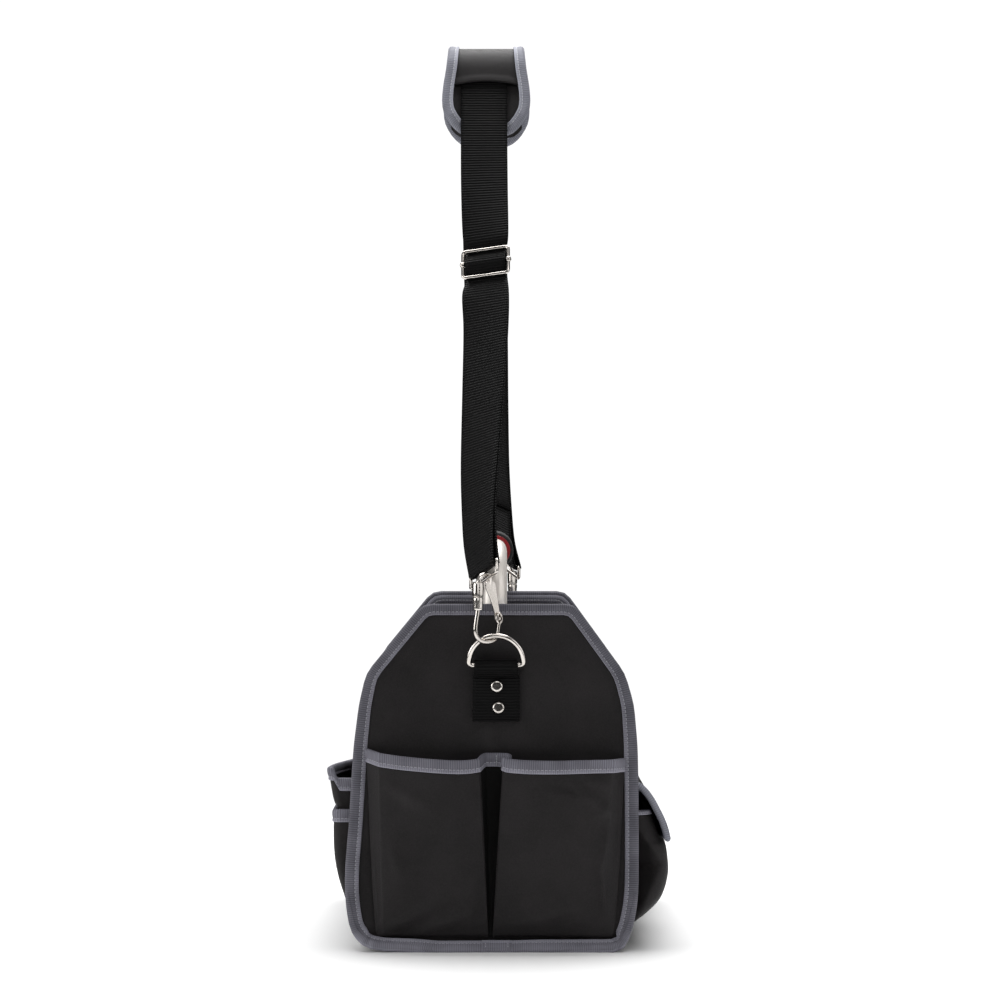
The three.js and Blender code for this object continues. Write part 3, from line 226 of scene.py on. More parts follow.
def piece(name, points, faces, corners, material, stands_for=(), body="bag"):
    """A mesh from points in millimetres and faces; corners gives each face corner its place on the cloth."""
    mesh = bpy.data.meshes.new(name)
    mesh.from_pydata((np.asarray(points) / 1000).tolist(), [], [list(map(int, face)) for face in faces])
    if corners is not None:
        mesh.uv_layers.new(name="cloth").uv.foreach_set("vector", np.asarray(corners, np.float32).ravel())
    made = bpy.data.objects.new(name, mesh)
    scene.collection.objects.link(made)
    shell = bmesh.new()
    shell.from_mesh(mesh)
    bmesh.ops.recalc_face_normals(shell, faces=shell.faces)
    shell.to_mesh(mesh)
    shell.free()
    mesh.polygons.foreach_set("use_smooth", [True] * len(mesh.polygons))
    mesh.materials.append(material)
    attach(made, body)
    if stands_for:
        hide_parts(*stands_for)
    return made


def facing(grid):
    """Directions square to a grid of points."""
    down = np.gradient(grid, axis=0)
    across = np.gradient(grid, axis=1)
    return unit(np.cross(down, across))


def two_layers(rows, columns):
    """Faces of a closed sheet: a grid of points, a second grid after it, and the rim between them."""
    count = rows * columns
    index = np.arange(count).reshape(rows, columns)
    quads = np.stack([index[:-1, :-1], index[:-1, 1:], index[1:, 1:], index[1:, :-1]], -1).reshape(-1, 4)
    rim = np.concatenate([index[0, :-1], index[:-1, -1], index[-1, :0:-1], index[:0:-1, 0]])
    after = np.roll(rim, -1)
    edges = np.stack([rim, rim + count, after + count, after], -1)
    return np.concatenate([quads, quads[:, ::-1] + count, edges])


def cloth_piece(name, grid, thickness, material, stands_for):
    """A closed sheet with one face on the grid and the other a thickness behind it."""
    back = grid + facing(grid) * thickness
    place = np.stack([lengths(grid, 1), lengths(grid, 0)], -1).reshape(-1, 2)
    faces = two_layers(*grid.shape[:2])
    points = np.concatenate([grid.reshape(-1, 3), back.reshape(-1, 3)])
    return piece(name, points, faces, place[faces.ravel() % len(place)], material, stands_for)


def ripple(first, second, *waves):
    """Low folds in cloth: a sum of waves, each a height, two numbers of turns per metre, and a start."""
    total = 0
    for height, turns_first, turns_second, begin in waves:
        phase = math.tau * (turns_first * first + turns_second * second) / 1000 + begin
        total = total + height * np.sin(phase)
    return total


def cloth_finish(name, low, high, thread, roughness):
    """Plain-woven cloth: threads of a width in millimetres that cross over and under each other."""
    material = bpy.data.materials.new(name)
    start = ground(material)
    place = start.node("ShaderNodeUVMap", {"uv_map": "cloth"}, {})
    turns = math.pi * 1000 / thread
    across = (place.part("X") * turns).sine()
    along = (place.part("Y") * turns).sine()
    over = (across * along).step(-0.5, 0.5)
    threads = across.size() * over + along.size() * (1 - over)
    patches = speckle(start, 26.0, 4.0)
    dust = speckle(start, 900.0)
    shade = threads * 0.45 + patches * 0.4 + dust * 0.3
    link(material, colour=shade.step(0.25, 0.95).between(low, high),
         roughness=patches * 0.16 + (roughness - 0.08) - threads * 0.06)
    relief(material, threads * 0.8 + dust * 0.4, 0.16)
    constants(material, specular_ior_level=0.16)
    return material


body_cloth = cloth_finish("black_polyester", (0.0034, 0.003, 0.0031), (0.0266, 0.0238, 0.0248), 0.7, 0.54)

# Rows of an end panel's taped edge: height, left, right
END_ROWS = np.array([
    (0.4, -91, 91), (4, -102, 98.5), (14, -110.8, 103.2), (28, -114, 106.5), (45, -115.8, 108.8),
    (65, -115.5, 109), (98, -112.7, 109), (134, -110.6, 108.7), (158, -109, 108.2), (190, -105, 105.5),
    (214, -99.5, 98.6), (267, -56, 60)], float)
END_FACE = 200.0
END_CLOTH = 2.4
WALL_LENGTH = 198.4
WALL_CLOTH = 2.0
FLANGE = 8.0
LEFT, RIGHT = -1, 1
SIDES = {"left": LEFT, "right": RIGHT}


def wall_at(side, height):
    return side * np.interp(height, END_ROWS[:, 0], END_ROWS[:, 1 if side < 0 else 2]) - FLANGE


def side_wall(side):
    """Outer face of a side wall: along the bag by up the wall."""
    foot, bend = 86.3, 24
    reach = wall_at(side, bend) - foot
    turn = np.radians(np.linspace(-90, 0, 12))
    corner = np.stack([foot + reach * np.cos(turn), bend + bend * np.sin(turn)], -1)
    heights = np.linspace(27, 205, 46)
    wall = np.stack([wall_at(side, heights), heights], -1)
    section = np.concatenate([corner, wall])
    station = np.linspace(-1, 1, 121)[:, None]
    slack = 1 - station ** 2
    reach, height = section[:, 0], section[:, 1]
    upper = np.clip((height - 150) / 40, 0, 1)
    lift = np.clip(height / 60, 0, 1) * slack
    out = reach - 6 * slack * upper
    folds = ripple(station * WALL_LENGTH, height, (1.2, 4.1, 2.2, side), (0.8, 9, -3.5, 2.0))
    out = out - 0.5 * lift + lift * folds
    down = height - 7 * slack * upper
    return np.stack([side * out, station * WALL_LENGTH + 0 * height, down], -1)


walls = {name: side_wall(side) for name, side in SIDES.items()}
for name, side in SIDES.items():
    cloth_piece(f"wall_{name}", walls[name], -side * WALL_CLOTH, body_cloth,
                [f"side_panel_{name}"])

BASE_HALF, BASE_TOP, BASE_CLOTH = 88, 2.0, 1.9
base_x, base_y = np.meshgrid(np.linspace(-BASE_HALF, BASE_HALF, 60),
                             np.linspace(-WALL_LENGTH, WALL_LENGTH, 120))
sag = 0.35 * (np.sin(base_x / 21) * np.sin(base_y / 34)) ** 2
base_grid = np.stack([base_x, base_y, BASE_TOP + sag], -1)
cloth_piece("base", base_grid, -BASE_CLOTH, body_cloth, ["base_panel"])

# Edge tape: grey grosgrain ribbon with fine ribs across it, folded over each raw cloth edge and sewn
# through with one row of thread.


def offset_line(line, distance):
    """A flat line moved sideways."""
    way = unit(np.gradient(line, axis=0))
    return line + np.stack([-way[:, 1], way[:, 0]], -1) * distance


def ring_faces(count, size, first=0, closed=False):
    """Faces between rings of points, one ring after another, each of the same size."""
    faces = []
    for row in range(count if closed else count - 1):
        here, there = first + row * size, first + (row + 1) % count * size
        for side in range(size):
            after = (side + 1) % size
            faces.append((here + side, here + after, there + after, there + side))
    return faces


def band(name, stops, line, thickness, material, stands_for=(), closed=False):
    """A strip of tape or webbing: a flat line of its section, carried along stops of place and two axes."""
    at, first, second = stops
    outer = offset_line(line, thickness / 2)
    inner = offset_line(line, -thickness / 2)[::-1]
    section = np.concatenate([outer, inner])
    count, size = len(at), len(section)
    points = at[:, None] + first[:, None] * section[:, :1] + second[:, None] * section[:, 1:]
    width = lengths(line, 0)
    across = np.concatenate([width, width[::-1]])
    along = lengths(np.concatenate([at, at[:1]]) if closed else at, 0)
    faces = ring_faces(count, size, closed=closed)
    corners = [(across[(side + right) % size], along[row + ahead])
               for row in range(len(along) - 1) for side in range(size)
               for right, ahead in [(0, 0), (1, 0), (1, 1), (0, 1)]]
    if not closed:
        for start_at, level in [(0, 0), ((count - 1) * size, -1)]:
            for side in range(len(line) - 1):
                quad = (side, side + 1, size - 2 - side, size - 1 - side)
                faces.append(tuple(start_at + corner for corner in quad))
                corners += [(across[corner], along[level]) for corner in quad]
    return piece(name, points.reshape(-1, 3), faces, corners, material, stands_for)


def fold(face, back, half):
    """Section of a folded tape: from its edge on the front, over the cloth edge, to its edge behind."""
    corner, bulge = min(1.3, half), 0.25
    turn = np.radians(np.linspace(90, 0, 5))
    front = [(-face + face * share * 0.8, half + bulge * math.sin(math.pi * share) - 0.12 * (share == 0))
             for share in np.linspace(0, 1, 7)]
    top = [(corner * (math.cos(a) - 1), half - corner + corner * math.sin(a)) for a in turn]
    bottom = [(x, -y) for x, y in top[::-1]]
    behind = [(x * back / face, -y) for x, y in front[::-1]]
    return np.array(front + top + bottom + behind)


def ribbed_finish(name, low, high, rib, roughness, depth, gloss, contrast, edge):
    """Ribbed ribbon or webbing: ribs of a pitch in millimetres across it, of fine threads along it."""
    material = bpy.data.materials.new(name)
    start = ground(material)
    place = start.node("ShaderNodeUVMap", {"uv_map": "cloth"}, {})
    across, along = place.part("X"), place.part("Y")
    wander = speckle(start, 130.0) * 0.9
    ribs = (along * (math.tau * 1000 / rib) + wander).sine() * 0.5 + 0.5
    threads = (across * (math.pi * 1000 / 0.8)).sine().size()
    worn = speckle(start, 45.0, 4.0)
    lip = (1 - across.step(0.0002, 0.0010)) * 0.25 + (1 - across.step(0.0024, 0.0030)) * 0.19
    # Painted light: within 2 cm of the floor the ribbon is made paler, standing for light that reaches the
    # tape's foot there
    level = start.node("ShaderNodeTexCoord", {}, {}, "Object").part("Z")
    painted_floor_light = (1 - level.step(0.004, 0.02)) * 0.26
    shade = ribs * contrast + threads * 0.15 + worn * 0.45 + (lip + painted_floor_light) * edge
    link(material, colour=shade.step(0.2, 1.0).between(low, high), roughness=worn * 0.2 + (roughness - 0.1))
    relief(material, ribs + threads * 0.25, depth)
    constants(material, specular_ior_level=gloss)
    return material


def ribbon(name, low, high, depth, contrast):
    """Grosgrain ribbon, paler in a strip along its free edge, and made paler near the floor as painted light.
    """
    return ribbed_finish(name, low, high, rib=1.7, roughness=0.7, depth=depth, gloss=0.25,
                         contrast=contrast, edge=1.0)


edge_tape = ribbon("grey_grosgrain", (0.06, 0.0585, 0.071), (0.265, 0.261, 0.307), 0.07, 0.19)
# Painted light: a lighter copy of the same grey ribbon, for the pocket rims
painted_lit_rim_ribbon = ribbon("painted_lit_rim_grosgrain", (0.085, 0.083, 0.1), (0.335, 0.33, 0.388), 0.07, 0.22)
# Painted light: a paler copy of the same grey ribbon, for the flap and pad tapes that catch more light
painted_lit_pad_ribbon = ribbon("painted_lit_pad_grosgrain", (0.155, 0.158, 0.187), (0.47, 0.478, 0.55), 0.06, 0.25)


def thread_finish(name, low, high):
    """Twisted polyester thread."""
    material = bpy.data.materials.new(name)
    start = ground(material)
    lay = speckle(start, 2400.0)
    link(material, colour=lay.step(0.3, 0.7).between(low, high), roughness=lay * 0.2 + 0.45)
    relief(material, lay, 0.05)
    constants(material, specular_ior_level=0.4)
    return material


grey_thread = thread_finish("grey_thread", (0.26, 0.26, 0.29), (0.42, 0.42, 0.46))


def seam(name, line, up, thread=grey_thread, pitch=3.0, length=2.75, radius=0.3, closed=False):
    """A row of stitches along a line: each a short thread that dips into the cloth at both ends."""
    line, up = np.asarray(line, float), unit(np.asarray(up, float))
    if closed:
        line, up = np.concatenate([line, line[:1]]), np.concatenate([up, up[:1]])
    run = np.concatenate([[0], np.cumsum(np.linalg.norm(np.diff(line, axis=0), axis=1))])
    starts = np.arange(pitch / 2, run[-1] - length, pitch)
    shares = np.array([0, 0.2, 0.5, 0.8, 1])
    rise = np.array([-0.5, 0.35, 0.6, 0.35, -0.5]) * radius
    width = np.array([0.55, 1, 1, 1, 0.55]) * radius
    rings, sides = len(shares), 6
    stations = (starts[:, None] + shares * length).ravel()
    centre = np.stack([np.interp(stations, run, line[:, k]) for k in range(3)], -1).reshape(-1, rings, 3)
    lift = unit(np.stack([np.interp(stations, run, up[:, k]) for k in range(3)], -1)).reshape(-1, rings, 3)
    way = unit(np.gradient(centre, axis=1))
    side = unit(np.cross(way, lift))
    turn = np.arange(sides) * math.tau / sides
    ring = centre + lift * rise[None, :, None]
    points = (ring[:, :, None] + side[:, :, None] * (np.cos(turn) * width[:, None])[None, :, :, None]
              + lift[:, :, None] * (np.sin(turn) * width[:, None])[None, :, :, None])
    faces = []
    for first in range(0, len(starts) * rings * sides, rings * sides):
        last = first + (rings - 1) * sides
        faces += ring_faces(rings, sides, first)
        faces += [tuple(range(first, first + sides)), tuple(range(last, last + sides))]
    return piece(name, points.reshape(-1, 3), faces, None, thread)


TAPE_FACE = 9.5
TAPE_OVER = 1.2
RIBBON = 0.8
for name, side in SIDES.items():
    grid = walls[name]
    top = grid[:, -1]
    out = unit(grid[:, -1] - grid[:, -4])
    front = facing(grid)[:, -1] * side
    stops = (top - front * WALL_CLOTH / 2 + out * TAPE_OVER, out, front)
    band(f"wall_tape_{name}", stops, fold(TAPE_FACE, 5.0, 2.0), RIBBON, edge_tape,
         [f"side_tape_{name}"])
    seam(f"wall_seam_{name}", top - out * 5.6 + front * 1.55, front)

# End panels: black cloth over board, house-shaped, standing outside the ends of the walls. The cloth
# draws in a little between its taped edges and shows a faint upright crease under the ring tab.

END_SIGNS = {"near": -1, "far": 1}


def end_panel(sign):
    """Outer face of an end panel: up the panel by across it."""
    trim = 1.5
    height = np.linspace(END_ROWS[0, 0] + trim, END_ROWS[-1, 0] - trim, 110)[:, None]
    left = np.interp(height, END_ROWS[:, 0], END_ROWS[:, 1]) + trim
    right = np.interp(height, END_ROWS[:, 0], END_ROWS[:, 2]) - trim
    share = np.linspace(0, 1, 90)
    x = left + (right - left) * share
    inset = np.clip(np.minimum(x - left, right - x) / 30, 0, 1) * np.clip((268 - height) / 40, 0, 1)
    inset = inset * np.clip(height / 30, 0, 1)
    folds = ripple(x, height, (1.4, 7.1, 2.6, 0.4), (1.3, -4.3, 8.2, 1.7), (0.6, 15.0, 5.0, 2.2))
    crease = 1.3 * np.exp(-((x + 3.5) / 4.0) ** 2) * np.clip((196 - height) / 20, 0, 1)
    flare = 1.5 * np.clip((7 - height) / 7, 0, 1)
    depth = END_FACE + flare - inset * (2.6 + folds - crease)
    return np.stack([x, sign * depth, height + 0 * x], -1)


for end, sign in END_SIGNS.items():
    cloth_piece(f"end_cloth_{end}", end_panel(sign), -sign * END_CLOTH, body_cloth,
                [f"end_panel_{end}"])

# End tapes: the same grey ribbon folded round the whole edge of each end panel, over the wall and
# base edges too. Its ends lap at the middle of the foot, under cross stitches.


def rounded(points, reach):
    """A closed flat outline with each corner turned into a short curve."""
    rows = np.asarray(points, float)
    out = []
    for corner, before, after in zip(rows, np.roll(rows, 1, 0), np.roll(rows, -1, 0)):
        one = (before - corner) * min(0.45, reach / np.linalg.norm(before - corner))
        other = (after - corner) * min(0.45, reach / np.linalg.norm(after - corner))
        out += [corner + one, corner + (one + other) / 4, corner + other]
    return np.array(out)


def refined(points, longest):
    """A closed line with extra points, so that no step is longer than that."""
    out = []
    for here, there in zip(points, np.roll(points, -1, 0)):
        steps = max(1, math.ceil(np.linalg.norm(there - here) / longest))
        out += [here + (there - here) * step / steps for step in range(steps)]
    return np.array(out)


def outwards(points):
    """Directions out of a closed flat outline that runs clockwise, long enough to mitre its corners."""
    after = unit(np.roll(points, -1, 0) - points)
    before = np.roll(after, 1, 0)
    one = np.stack([-before[:, 1], before[:, 0]], -1)
    other = np.stack([-after[:, 1], after[:, 0]], -1)
    return (one + other) / (1 + np.sum(one * other, -1, keepdims=True))


def in_plane(flat, y):
    """Flat pairs of X and Z put at a Y."""
    flat = np.asarray(flat, float)
    return np.stack([flat[:, 0], np.full(len(flat), y), flat[:, 1]], -1)


# Place of the stitches on a tape, as a share of its face from the fold
SEWN_AT = 0.72


def fold_sewn(face, back, half):
    """Section of a tape that its stitches press in, with a lip of ribbon inside the stitch line."""
    front = [(-face, half - 0.25), (-0.96 * face, half + 0.12), (-0.88 * face, half + 0.25),
             (-0.79 * face, half), (-SEWN_AT * face, half - 0.24), (-0.65 * face, half),
             (-0.5 * face, half + 0.25), (-0.3 * face, half + 0.34), (-0.15 * face, half + 0.15)]
    turn = np.radians(np.linspace(80, 0, 5))
    top = [(half * 0.8 * (math.cos(a) - 1), half * math.sin(a)) for a in turn]
    behind = [(x * back / face, -y) for x, y in front[::-1]]
    return np.array(front + top + [(x, -y) for x, y in top[-2::-1]] + behind)


def binding(name, stops, face, back, half, tape, stands_for, lift, tail="", closed=False, **stitches):
    """A folded tape along an edge, and its stitches, at a lift from the middle of the fold."""
    at, out, front = stops
    band(f"{name}_binding{tail}", stops, fold_sewn(face, back, half), RIBBON, tape,
         [stands_for], closed)
    seam(f"{name}_seam{tail}", at - out * face * SEWN_AT + front * lift, front, closed=closed, **stitches)


left_edge = END_ROWS[:, [1, 0]]
right_edge = END_ROWS[::-1, [2, 0]]
end_outline = refined(rounded(np.concatenate([left_edge, right_edge]), 7.0), 3.5)
end_out = outwards(end_outline)
TAPE_MIDDLE = END_FACE - END_CLOTH / 2
END_FACE_TAPE = 10.2
along_tape = lengths(end_outline, 0)[:, None] * 1000
at_foot = np.clip((14 - end_outline[:, 1:]) / 10, 0, 1)
at_corner = np.exp(-((np.abs(end_outline[:, :1]) - 96) / 12) ** 2) * at_foot
tape_width = np.interp(end_outline[:, 1:], [9, 20, 150, 222], [1.06, 1, 1, 0.8])
tape_wave = ripple(along_tape, 0, (0.3, 11, 0, 0.3), (0.2, 23, 0, 1.0))
tape_wave = tape_wave + 1.6 * at_corner * np.sin(along_tape * 0.7)
# The foot is not quite flat on the floor: X along it, lift there
FOOT_LIFT = np.array([(-110, 1.6), (-94, 2.6), (-62, 1.4), (-45, 0), (5, 0), (35, 0.9), (100, 1.0)])
foot_lift = np.interp(end_outline[:, :1], *FOOT_LIFT.T) * at_foot
UP = np.array([0, 0, 1.0])
tape_ring = in_plane(end_outline + end_out * TAPE_OVER, 0) + UP * foot_lift
# The foot of the tape leans back, and stands so far out of the panel
FOOT_TILT = math.radians(50)
FOOT_PUSH = 2.6
# At each lower corner the spare ribbon is folded over on itself: a second thickness with an open edge
GATHER_FROM, GATHER_TOP = 48.0, 46.0
GATHER_LINE = curve([(-4.9, 3.0), (-3.6, 3.1), (-2.2, 2.9), (-1.0, 2.4), (0.1, 1.3), (0.5, 0),
                     (0.2, -1.2)], 2)[::-1]
# Behind the top edge a second ribbon covers the seam, from this height up
INSIDE_FROM = 207
INSIDE_LINE = np.array([(-4.0, -2.3), (-8.0, -2.5), (-12.5, -2.3)])
LAP_X = np.linspace(12, -11, 9)
LAP_SEWN_AT = (1, 7)
foot = np.argmin(np.abs(end_outline[:, 0]) + end_outline[:, 1])
around = np.roll(np.arange(len(end_outline)), -foot)
for end, sign in END_SIGNS.items():
    outward = np.array([0, sign, 0.0])
    tilt = FOOT_TILT * at_foot
    front = outward * np.cos(tilt) + UP * np.sin(tilt)
    tape_out = in_plane(end_out * tape_width, 0) * np.cos(tilt) + outward * np.sin(tilt)
    reach = TAPE_MIDDLE + tape_wave + END_FACE_TAPE * np.sin(tilt) + FOOT_PUSH * at_foot
    ring = tape_ring + outward * reach
    binding("end", (ring, tape_out, front), END_FACE_TAPE, 6.0, 1.9, edge_tape, f"end_tape_{end}", 1.85,
            f"_{end}", closed=True)
    top = np.flatnonzero(end_outline[:, 1] > INSIDE_FROM)
    band(f"end_binding_inside_{end}", (ring[top], tape_out[top], front[top]), INSIDE_LINE, 0.7,
         edge_tape)
    seam(f"end_seam_inside_{end}", ring[top] - tape_out[top] * 9.6 - front[top] * 2.8, -front[top])
    for name, side in SIDES.items():
        turn = around[(end_outline[around, 0] * side > GATHER_FROM) & (end_outline[around, 1] < GATHER_TOP)]
        rise = np.sin(math.pi * np.linspace(0.04, 0.96, len(turn)))[:, None] ** 0.7
        strip = (ring[turn] + front[turn] * (rise - 1), tape_out[turn] * (0.4 + 0.6 * rise), front[turn])
        band(f"end_gather_{end}_{name}", strip, GATHER_LINE, 0.6, edge_tape)
    lap_ring = np.tile(ring[foot] + UP * 0.3, (len(LAP_X), 1))
    lap_ring[:, 0] = LAP_X
    lap_out, lap_front = (np.tile(axis[foot], (len(LAP_X), 1)) for axis in (tape_out, front))
    band(f"end_lap_{end}", (lap_ring, lap_out, lap_front), fold_sewn(9.8, 5.0, 2.5), 0.7,
         edge_tape)
    down = np.linspace(1, 9, 8)[:, None]
    for number, stop in enumerate(LAP_SEWN_AT):
        cross = lap_ring[stop] - tape_out[foot] * down + front[foot] * 3.05
        seam(f"end_lap_seam_{end}_{number}", cross, lap_front[:len(down)], pitch=2.6, length=2.0)

# End pockets: one piece of cloth gathered into two bays and sewn flat to the panel between them, so
# that a deep pleat opens at the middle. The rim is bound with the grey ribbon, its colour made lighter as
# painted light, and tacked.

# Lines of the pocket from rim to foot: X at the rim, X at the foot, height of the rim, depth at the rim
POCKET_LINES = np.array([
    (-100.6, -92, 155.0, 1.9), (-97.5, -89, 154.2, 5.5), (-92, -86.6, 152.8, 12.6), (-88.5, -84, 152.0, 14.6),
    (-74, -72, 150.0, 15.8), (-52, -48, 148.0, 17.6), (-34, -31, 146.9, 17.6), (-22, -18, 147.0, 16.2),
    (-14.4, -7.6, 148.0, 14.6), (-12.6, -6.2, 148.6, 12.6), (-10.8, -5.8, 150.2, 8), (-8.2, -5.4, 151.6, 3.8),
    (-3.5, -4.8, 151.7, 3.0), (4, -4.2, 151.6, 3.0), (8, -3.6, 151.4, 3.8), (9.6, -3.1, 151.0, 6.6),
    (8.4, -2.8, 150.2, 10), (5.6, -2.6, 149.3, 12.4), (6.2, -2.2, 148.9, 14), (11, 0, 147.7, 15),
    (27, 19, 146.7, 16.6), (47, 38, 146.6, 17.8), (62, 52, 146.9, 17), (79, 68, 147.2, 15.6),
    (88, 75.4, 147.3, 14.2), (92, 78, 147.4, 12), (96.8, 86, 147.5, 5), (99.6, 90, 147.5, 1.9)])
# The pleat's inner cloth lies between these columns of the smoothed lines. It gets a duller, far darker
# cloth, and that darkness is painted shade for the deep pleat
PLEAT_SHADE_COLUMNS = (46, 84)
painted_pleat_shade_cloth = cloth_finish("painted_shade_polyester", (0.0007, 0.0007, 0.0007), (0.0042, 0.004, 0.004), 0.7, 0.8)
POCKET_FOOT = 10.6
POCKET_CLOTH = 1.6
# Wrinkles pressed into the pocket cloth: X and Z of one end, of the other, width and height
WRINKLES = np.array([
    (44, 124, 74, 116, 3.2, 3.0), (58, 132, 88, 108, 3.4, 3.2), (70, 134, 86, 128, 3.0, 2.4),
    (76, 104, 88, 112, 4, 2.2), (85.5, 90, 80, 60, 2.6, 2.6), (80, 66, 85, 22, 2.4, 2.8),
    (-86, 15, -40, 40, 4.4, 3.0), (-60, 14, -18, 30, 3.6, 2.6), (-21, 18, -14, 62, 3.6, 2.4),
    (20, 20, 60, 32, 4, 2.4), (-84, 130, -50, 110, 5, 2.2), (-80, 80, -70, 50, 4, 2.2)], float)


def wrinkled(x, z):
    """Height of the wrinkles at places on the pocket."""
    total = 0
    for x1, z1, x2, z2, width, height in WRINKLES:
        way, reach = np.array([x2 - x1, z2 - z1]), math.hypot(x2 - x1, z2 - z1)
        along = np.clip(((x - x1) * way[0] + (z - z1) * way[1]) / reach ** 2, 0, 1)
        off = np.hypot(x - x1 - along * way[0], z - z1 - along * way[1])
        total = total + height * np.sin(math.pi * (0.1 + 0.8 * along)) * np.exp(-(off / width) ** 2)
    return total


def end_pocket(sign):
    """Outer face of an end pocket: up by across."""
    rim_x, foot_x, rim, depth = curve(POCKET_LINES, 5).T
    share = np.linspace(0, 1, 60)[:, None]
    rise = np.interp(share, [0, 0.08, 0.25, 0.5, 0.75, 0.9, 1], [0, 0.34, 0.66, 0.9, 1.02, 1.02, 0.96])
    spread = np.interp(np.abs(rim_x + 3.5), [12, 26], [1.15, 0.6])
    x = foot_x + (rim_x - foot_x) * share ** spread
    z = POCKET_FOOT + (rim - POCKET_FOOT) * share
    loose = np.clip((depth - 4) / 10, 0, 1) * np.sin(math.pi * np.clip(share, 0, 1)) ** 0.7
    folds = ripple(x, z, (1.8, 9.0, 3.4, 0.2), (1.4, -6.2, 9.8, 1.1), (0.6, 21.0, -4.0, 0.5))
    out = 2.1 + (depth - 2.1) * rise + loose * folds + wrinkled(x, z) * np.clip((depth - 4) / 10, 0, 1)
    return np.stack([x, sign * (END_FACE + out), z], -1)


TACK = [(0.4, height) for height in np.linspace(152.4, 142, 6)]
for end, sign in END_SIGNS.items():
    grid = end_pocket(sign)
    bays = cloth_piece(f"end_bays_{end}", grid, -sign * POCKET_CLOTH, body_cloth,
                       [f"end_pocket_{end}"])
    # Painted shade: the faces inside the pleat take the far darker cloth
    bays.data.materials.append(painted_pleat_shade_cloth)
    columns = grid.shape[1] - 1
    both_layers = 2 * (len(grid) - 1) * columns
    face = np.arange(len(bays.data.polygons))
    column = face % columns
    in_painted_pleat_shade = (column >= PLEAT_SHADE_COLUMNS[0]) & (column < PLEAT_SHADE_COLUMNS[1]) & (face < both_layers)
    bays.data.polygons.foreach_set("material_index", in_painted_pleat_shade.astype(np.int32))
    rim, out = grid[-1], unit(grid[-1] - grid[-3])
    front = facing(grid)[-1] * sign
    middle = rim - front * POCKET_CLOTH / 2 + out * TAPE_OVER
    # Painted light: the rim tape is the lighter copy of the grey ribbon
    binding("end_bay", (middle, out, front), 10.0, 8.0, 1.35, painted_lit_rim_ribbon, f"end_pocket_tape_{end}", 1.4,
            f"_{end}")
    tack = in_plane(TACK, sign * (END_FACE + 4.2))
    seam(f"end_bay_tack_{end}", tack, np.tile([0.0, sign, 0.0], (len(tack), 1)), pitch=2.0, length=1.9,
         radius=0.45)

# Left pockets: two tiers of cloth sewn to the left wall one above the other, each with folded ends
# and a ribbon-bound rim that stands away from the wall.


def side_pocket(side, rows, half, corner, drop, gather, waves):
    """Outer face of a pocket on a side wall: up by round its end, its front and its other end."""
    height, reach = curve(rows, 6).T
    root = wall_at(side, np.maximum(height, 24)) + 0.3
    radius = np.minimum(corner, 0.7 * (reach - root))[:, None]
    reach, root, height = reach[:, None], root[:, None], height[:, None]
    ends = np.linspace(0, 1, 21)[:-1]
    turn = np.radians(np.linspace(0, 90, 13))
    run = np.linspace(-1, 1, 91)[1:-1]
    out = np.concatenate([root + (reach - radius - root) * ends, reach - radius + radius * np.sin(turn),
                          reach + 0 * run, reach - radius + radius * np.cos(turn),
                          root + (reach - radius - root) * ends[::-1]], 1)
    along = np.concatenate([-half + 0 * ends + 0 * radius, -half + radius - radius * np.cos(turn),
                            (half - radius) * run, half - radius + radius * np.sin(turn),
                            half + 0 * ends + 0 * radius], 1)
    up = (height - height[0]) / (height[-1] - height[0])
    inward = np.clip((reach - radius - out) / 4 + 0.6, 0, 1)
    pull = gather * np.maximum(np.cos(math.pi / 2 * along / half) ** 2, 0.85 * (along > 0))
    out = out - pull * (out - root) * up ** 2
    level = height - drop * inward * up ** 3
    slack = np.sin(math.pi * np.clip(up, 0, 1)) * (1 - inward)
    return np.stack([side * (out + slack * ripple(along, level, *waves)), along, level], -1)


def bound_pocket(name, side, grid, face, half_fold, pocket, tape):
    """Cloth, bound rim and stitches of a side pocket."""
    cloth_piece(name, grid, side * POCKET_CLOTH, body_cloth, [pocket])
    rim, out = grid[-1], unit(grid[-1] - grid[-4])
    front = facing(grid)[-1] * -side
    middle = rim - front * POCKET_CLOTH / 2 + out * TAPE_OVER
    # Painted light: the rim tape is the lighter copy of the grey ribbon
    binding(name, (middle, out, front), face, 8.0, half_fold, painted_lit_rim_ribbon, tape, half_fold + 0.05)


SOFT_FRONT = [(1.4, 5.4, 3.0, 0.4), (0.8, -9.0, 7.0, 1.2)]
upper_rows = [(62, 110.2), (80, 113), (94, 118.5), (104, 121.4), (109, 123.4), (114, 126.4), (124, 128.8),
              (139, 131)]
lower_rows = [(24, 110.5), (30, 114.2), (41, 117.2), (53, 120.3), (66, 123), (78, 124.8), (92, 126.1),
              (107, 126.6)]
for tier, rows, half, drop, gather in [
    ("upper", upper_rows, 186, 8.0, 0.95),
    ("lower", lower_rows, 190, 0.0, 0.0),
]:
    grid = side_pocket(LEFT, rows, half, 6, drop, gather, SOFT_FRONT)
    bound_pocket(f"{tier}_pocket", LEFT, grid, 9.5, 1.35, f"left_{tier}_pocket", f"left_{tier}_pocket_tape")

# Right pouch and flap: a deep pouch with soft folded ends, and a cloth flap sewn to the wall above
# it that hangs down over its rim. Both have ribbon-bound edges.

FLAP_HALF = 186.0
FLAP_CLOTH = 2.4
FLAP_SAG = np.array([3.2, 3.5])
flap_rows = [(101.9, 127.4), (109, 126), (114.4, 121.8), (119.2, 115.4), (123.6, 107.4), (127.4, 99.6),
             (130.2, 91.8), (132, 83.6)]
flap_line = curve(flap_rows, 5)
flap_y = np.linspace(-FLAP_HALF, FLAP_HALF, 110)


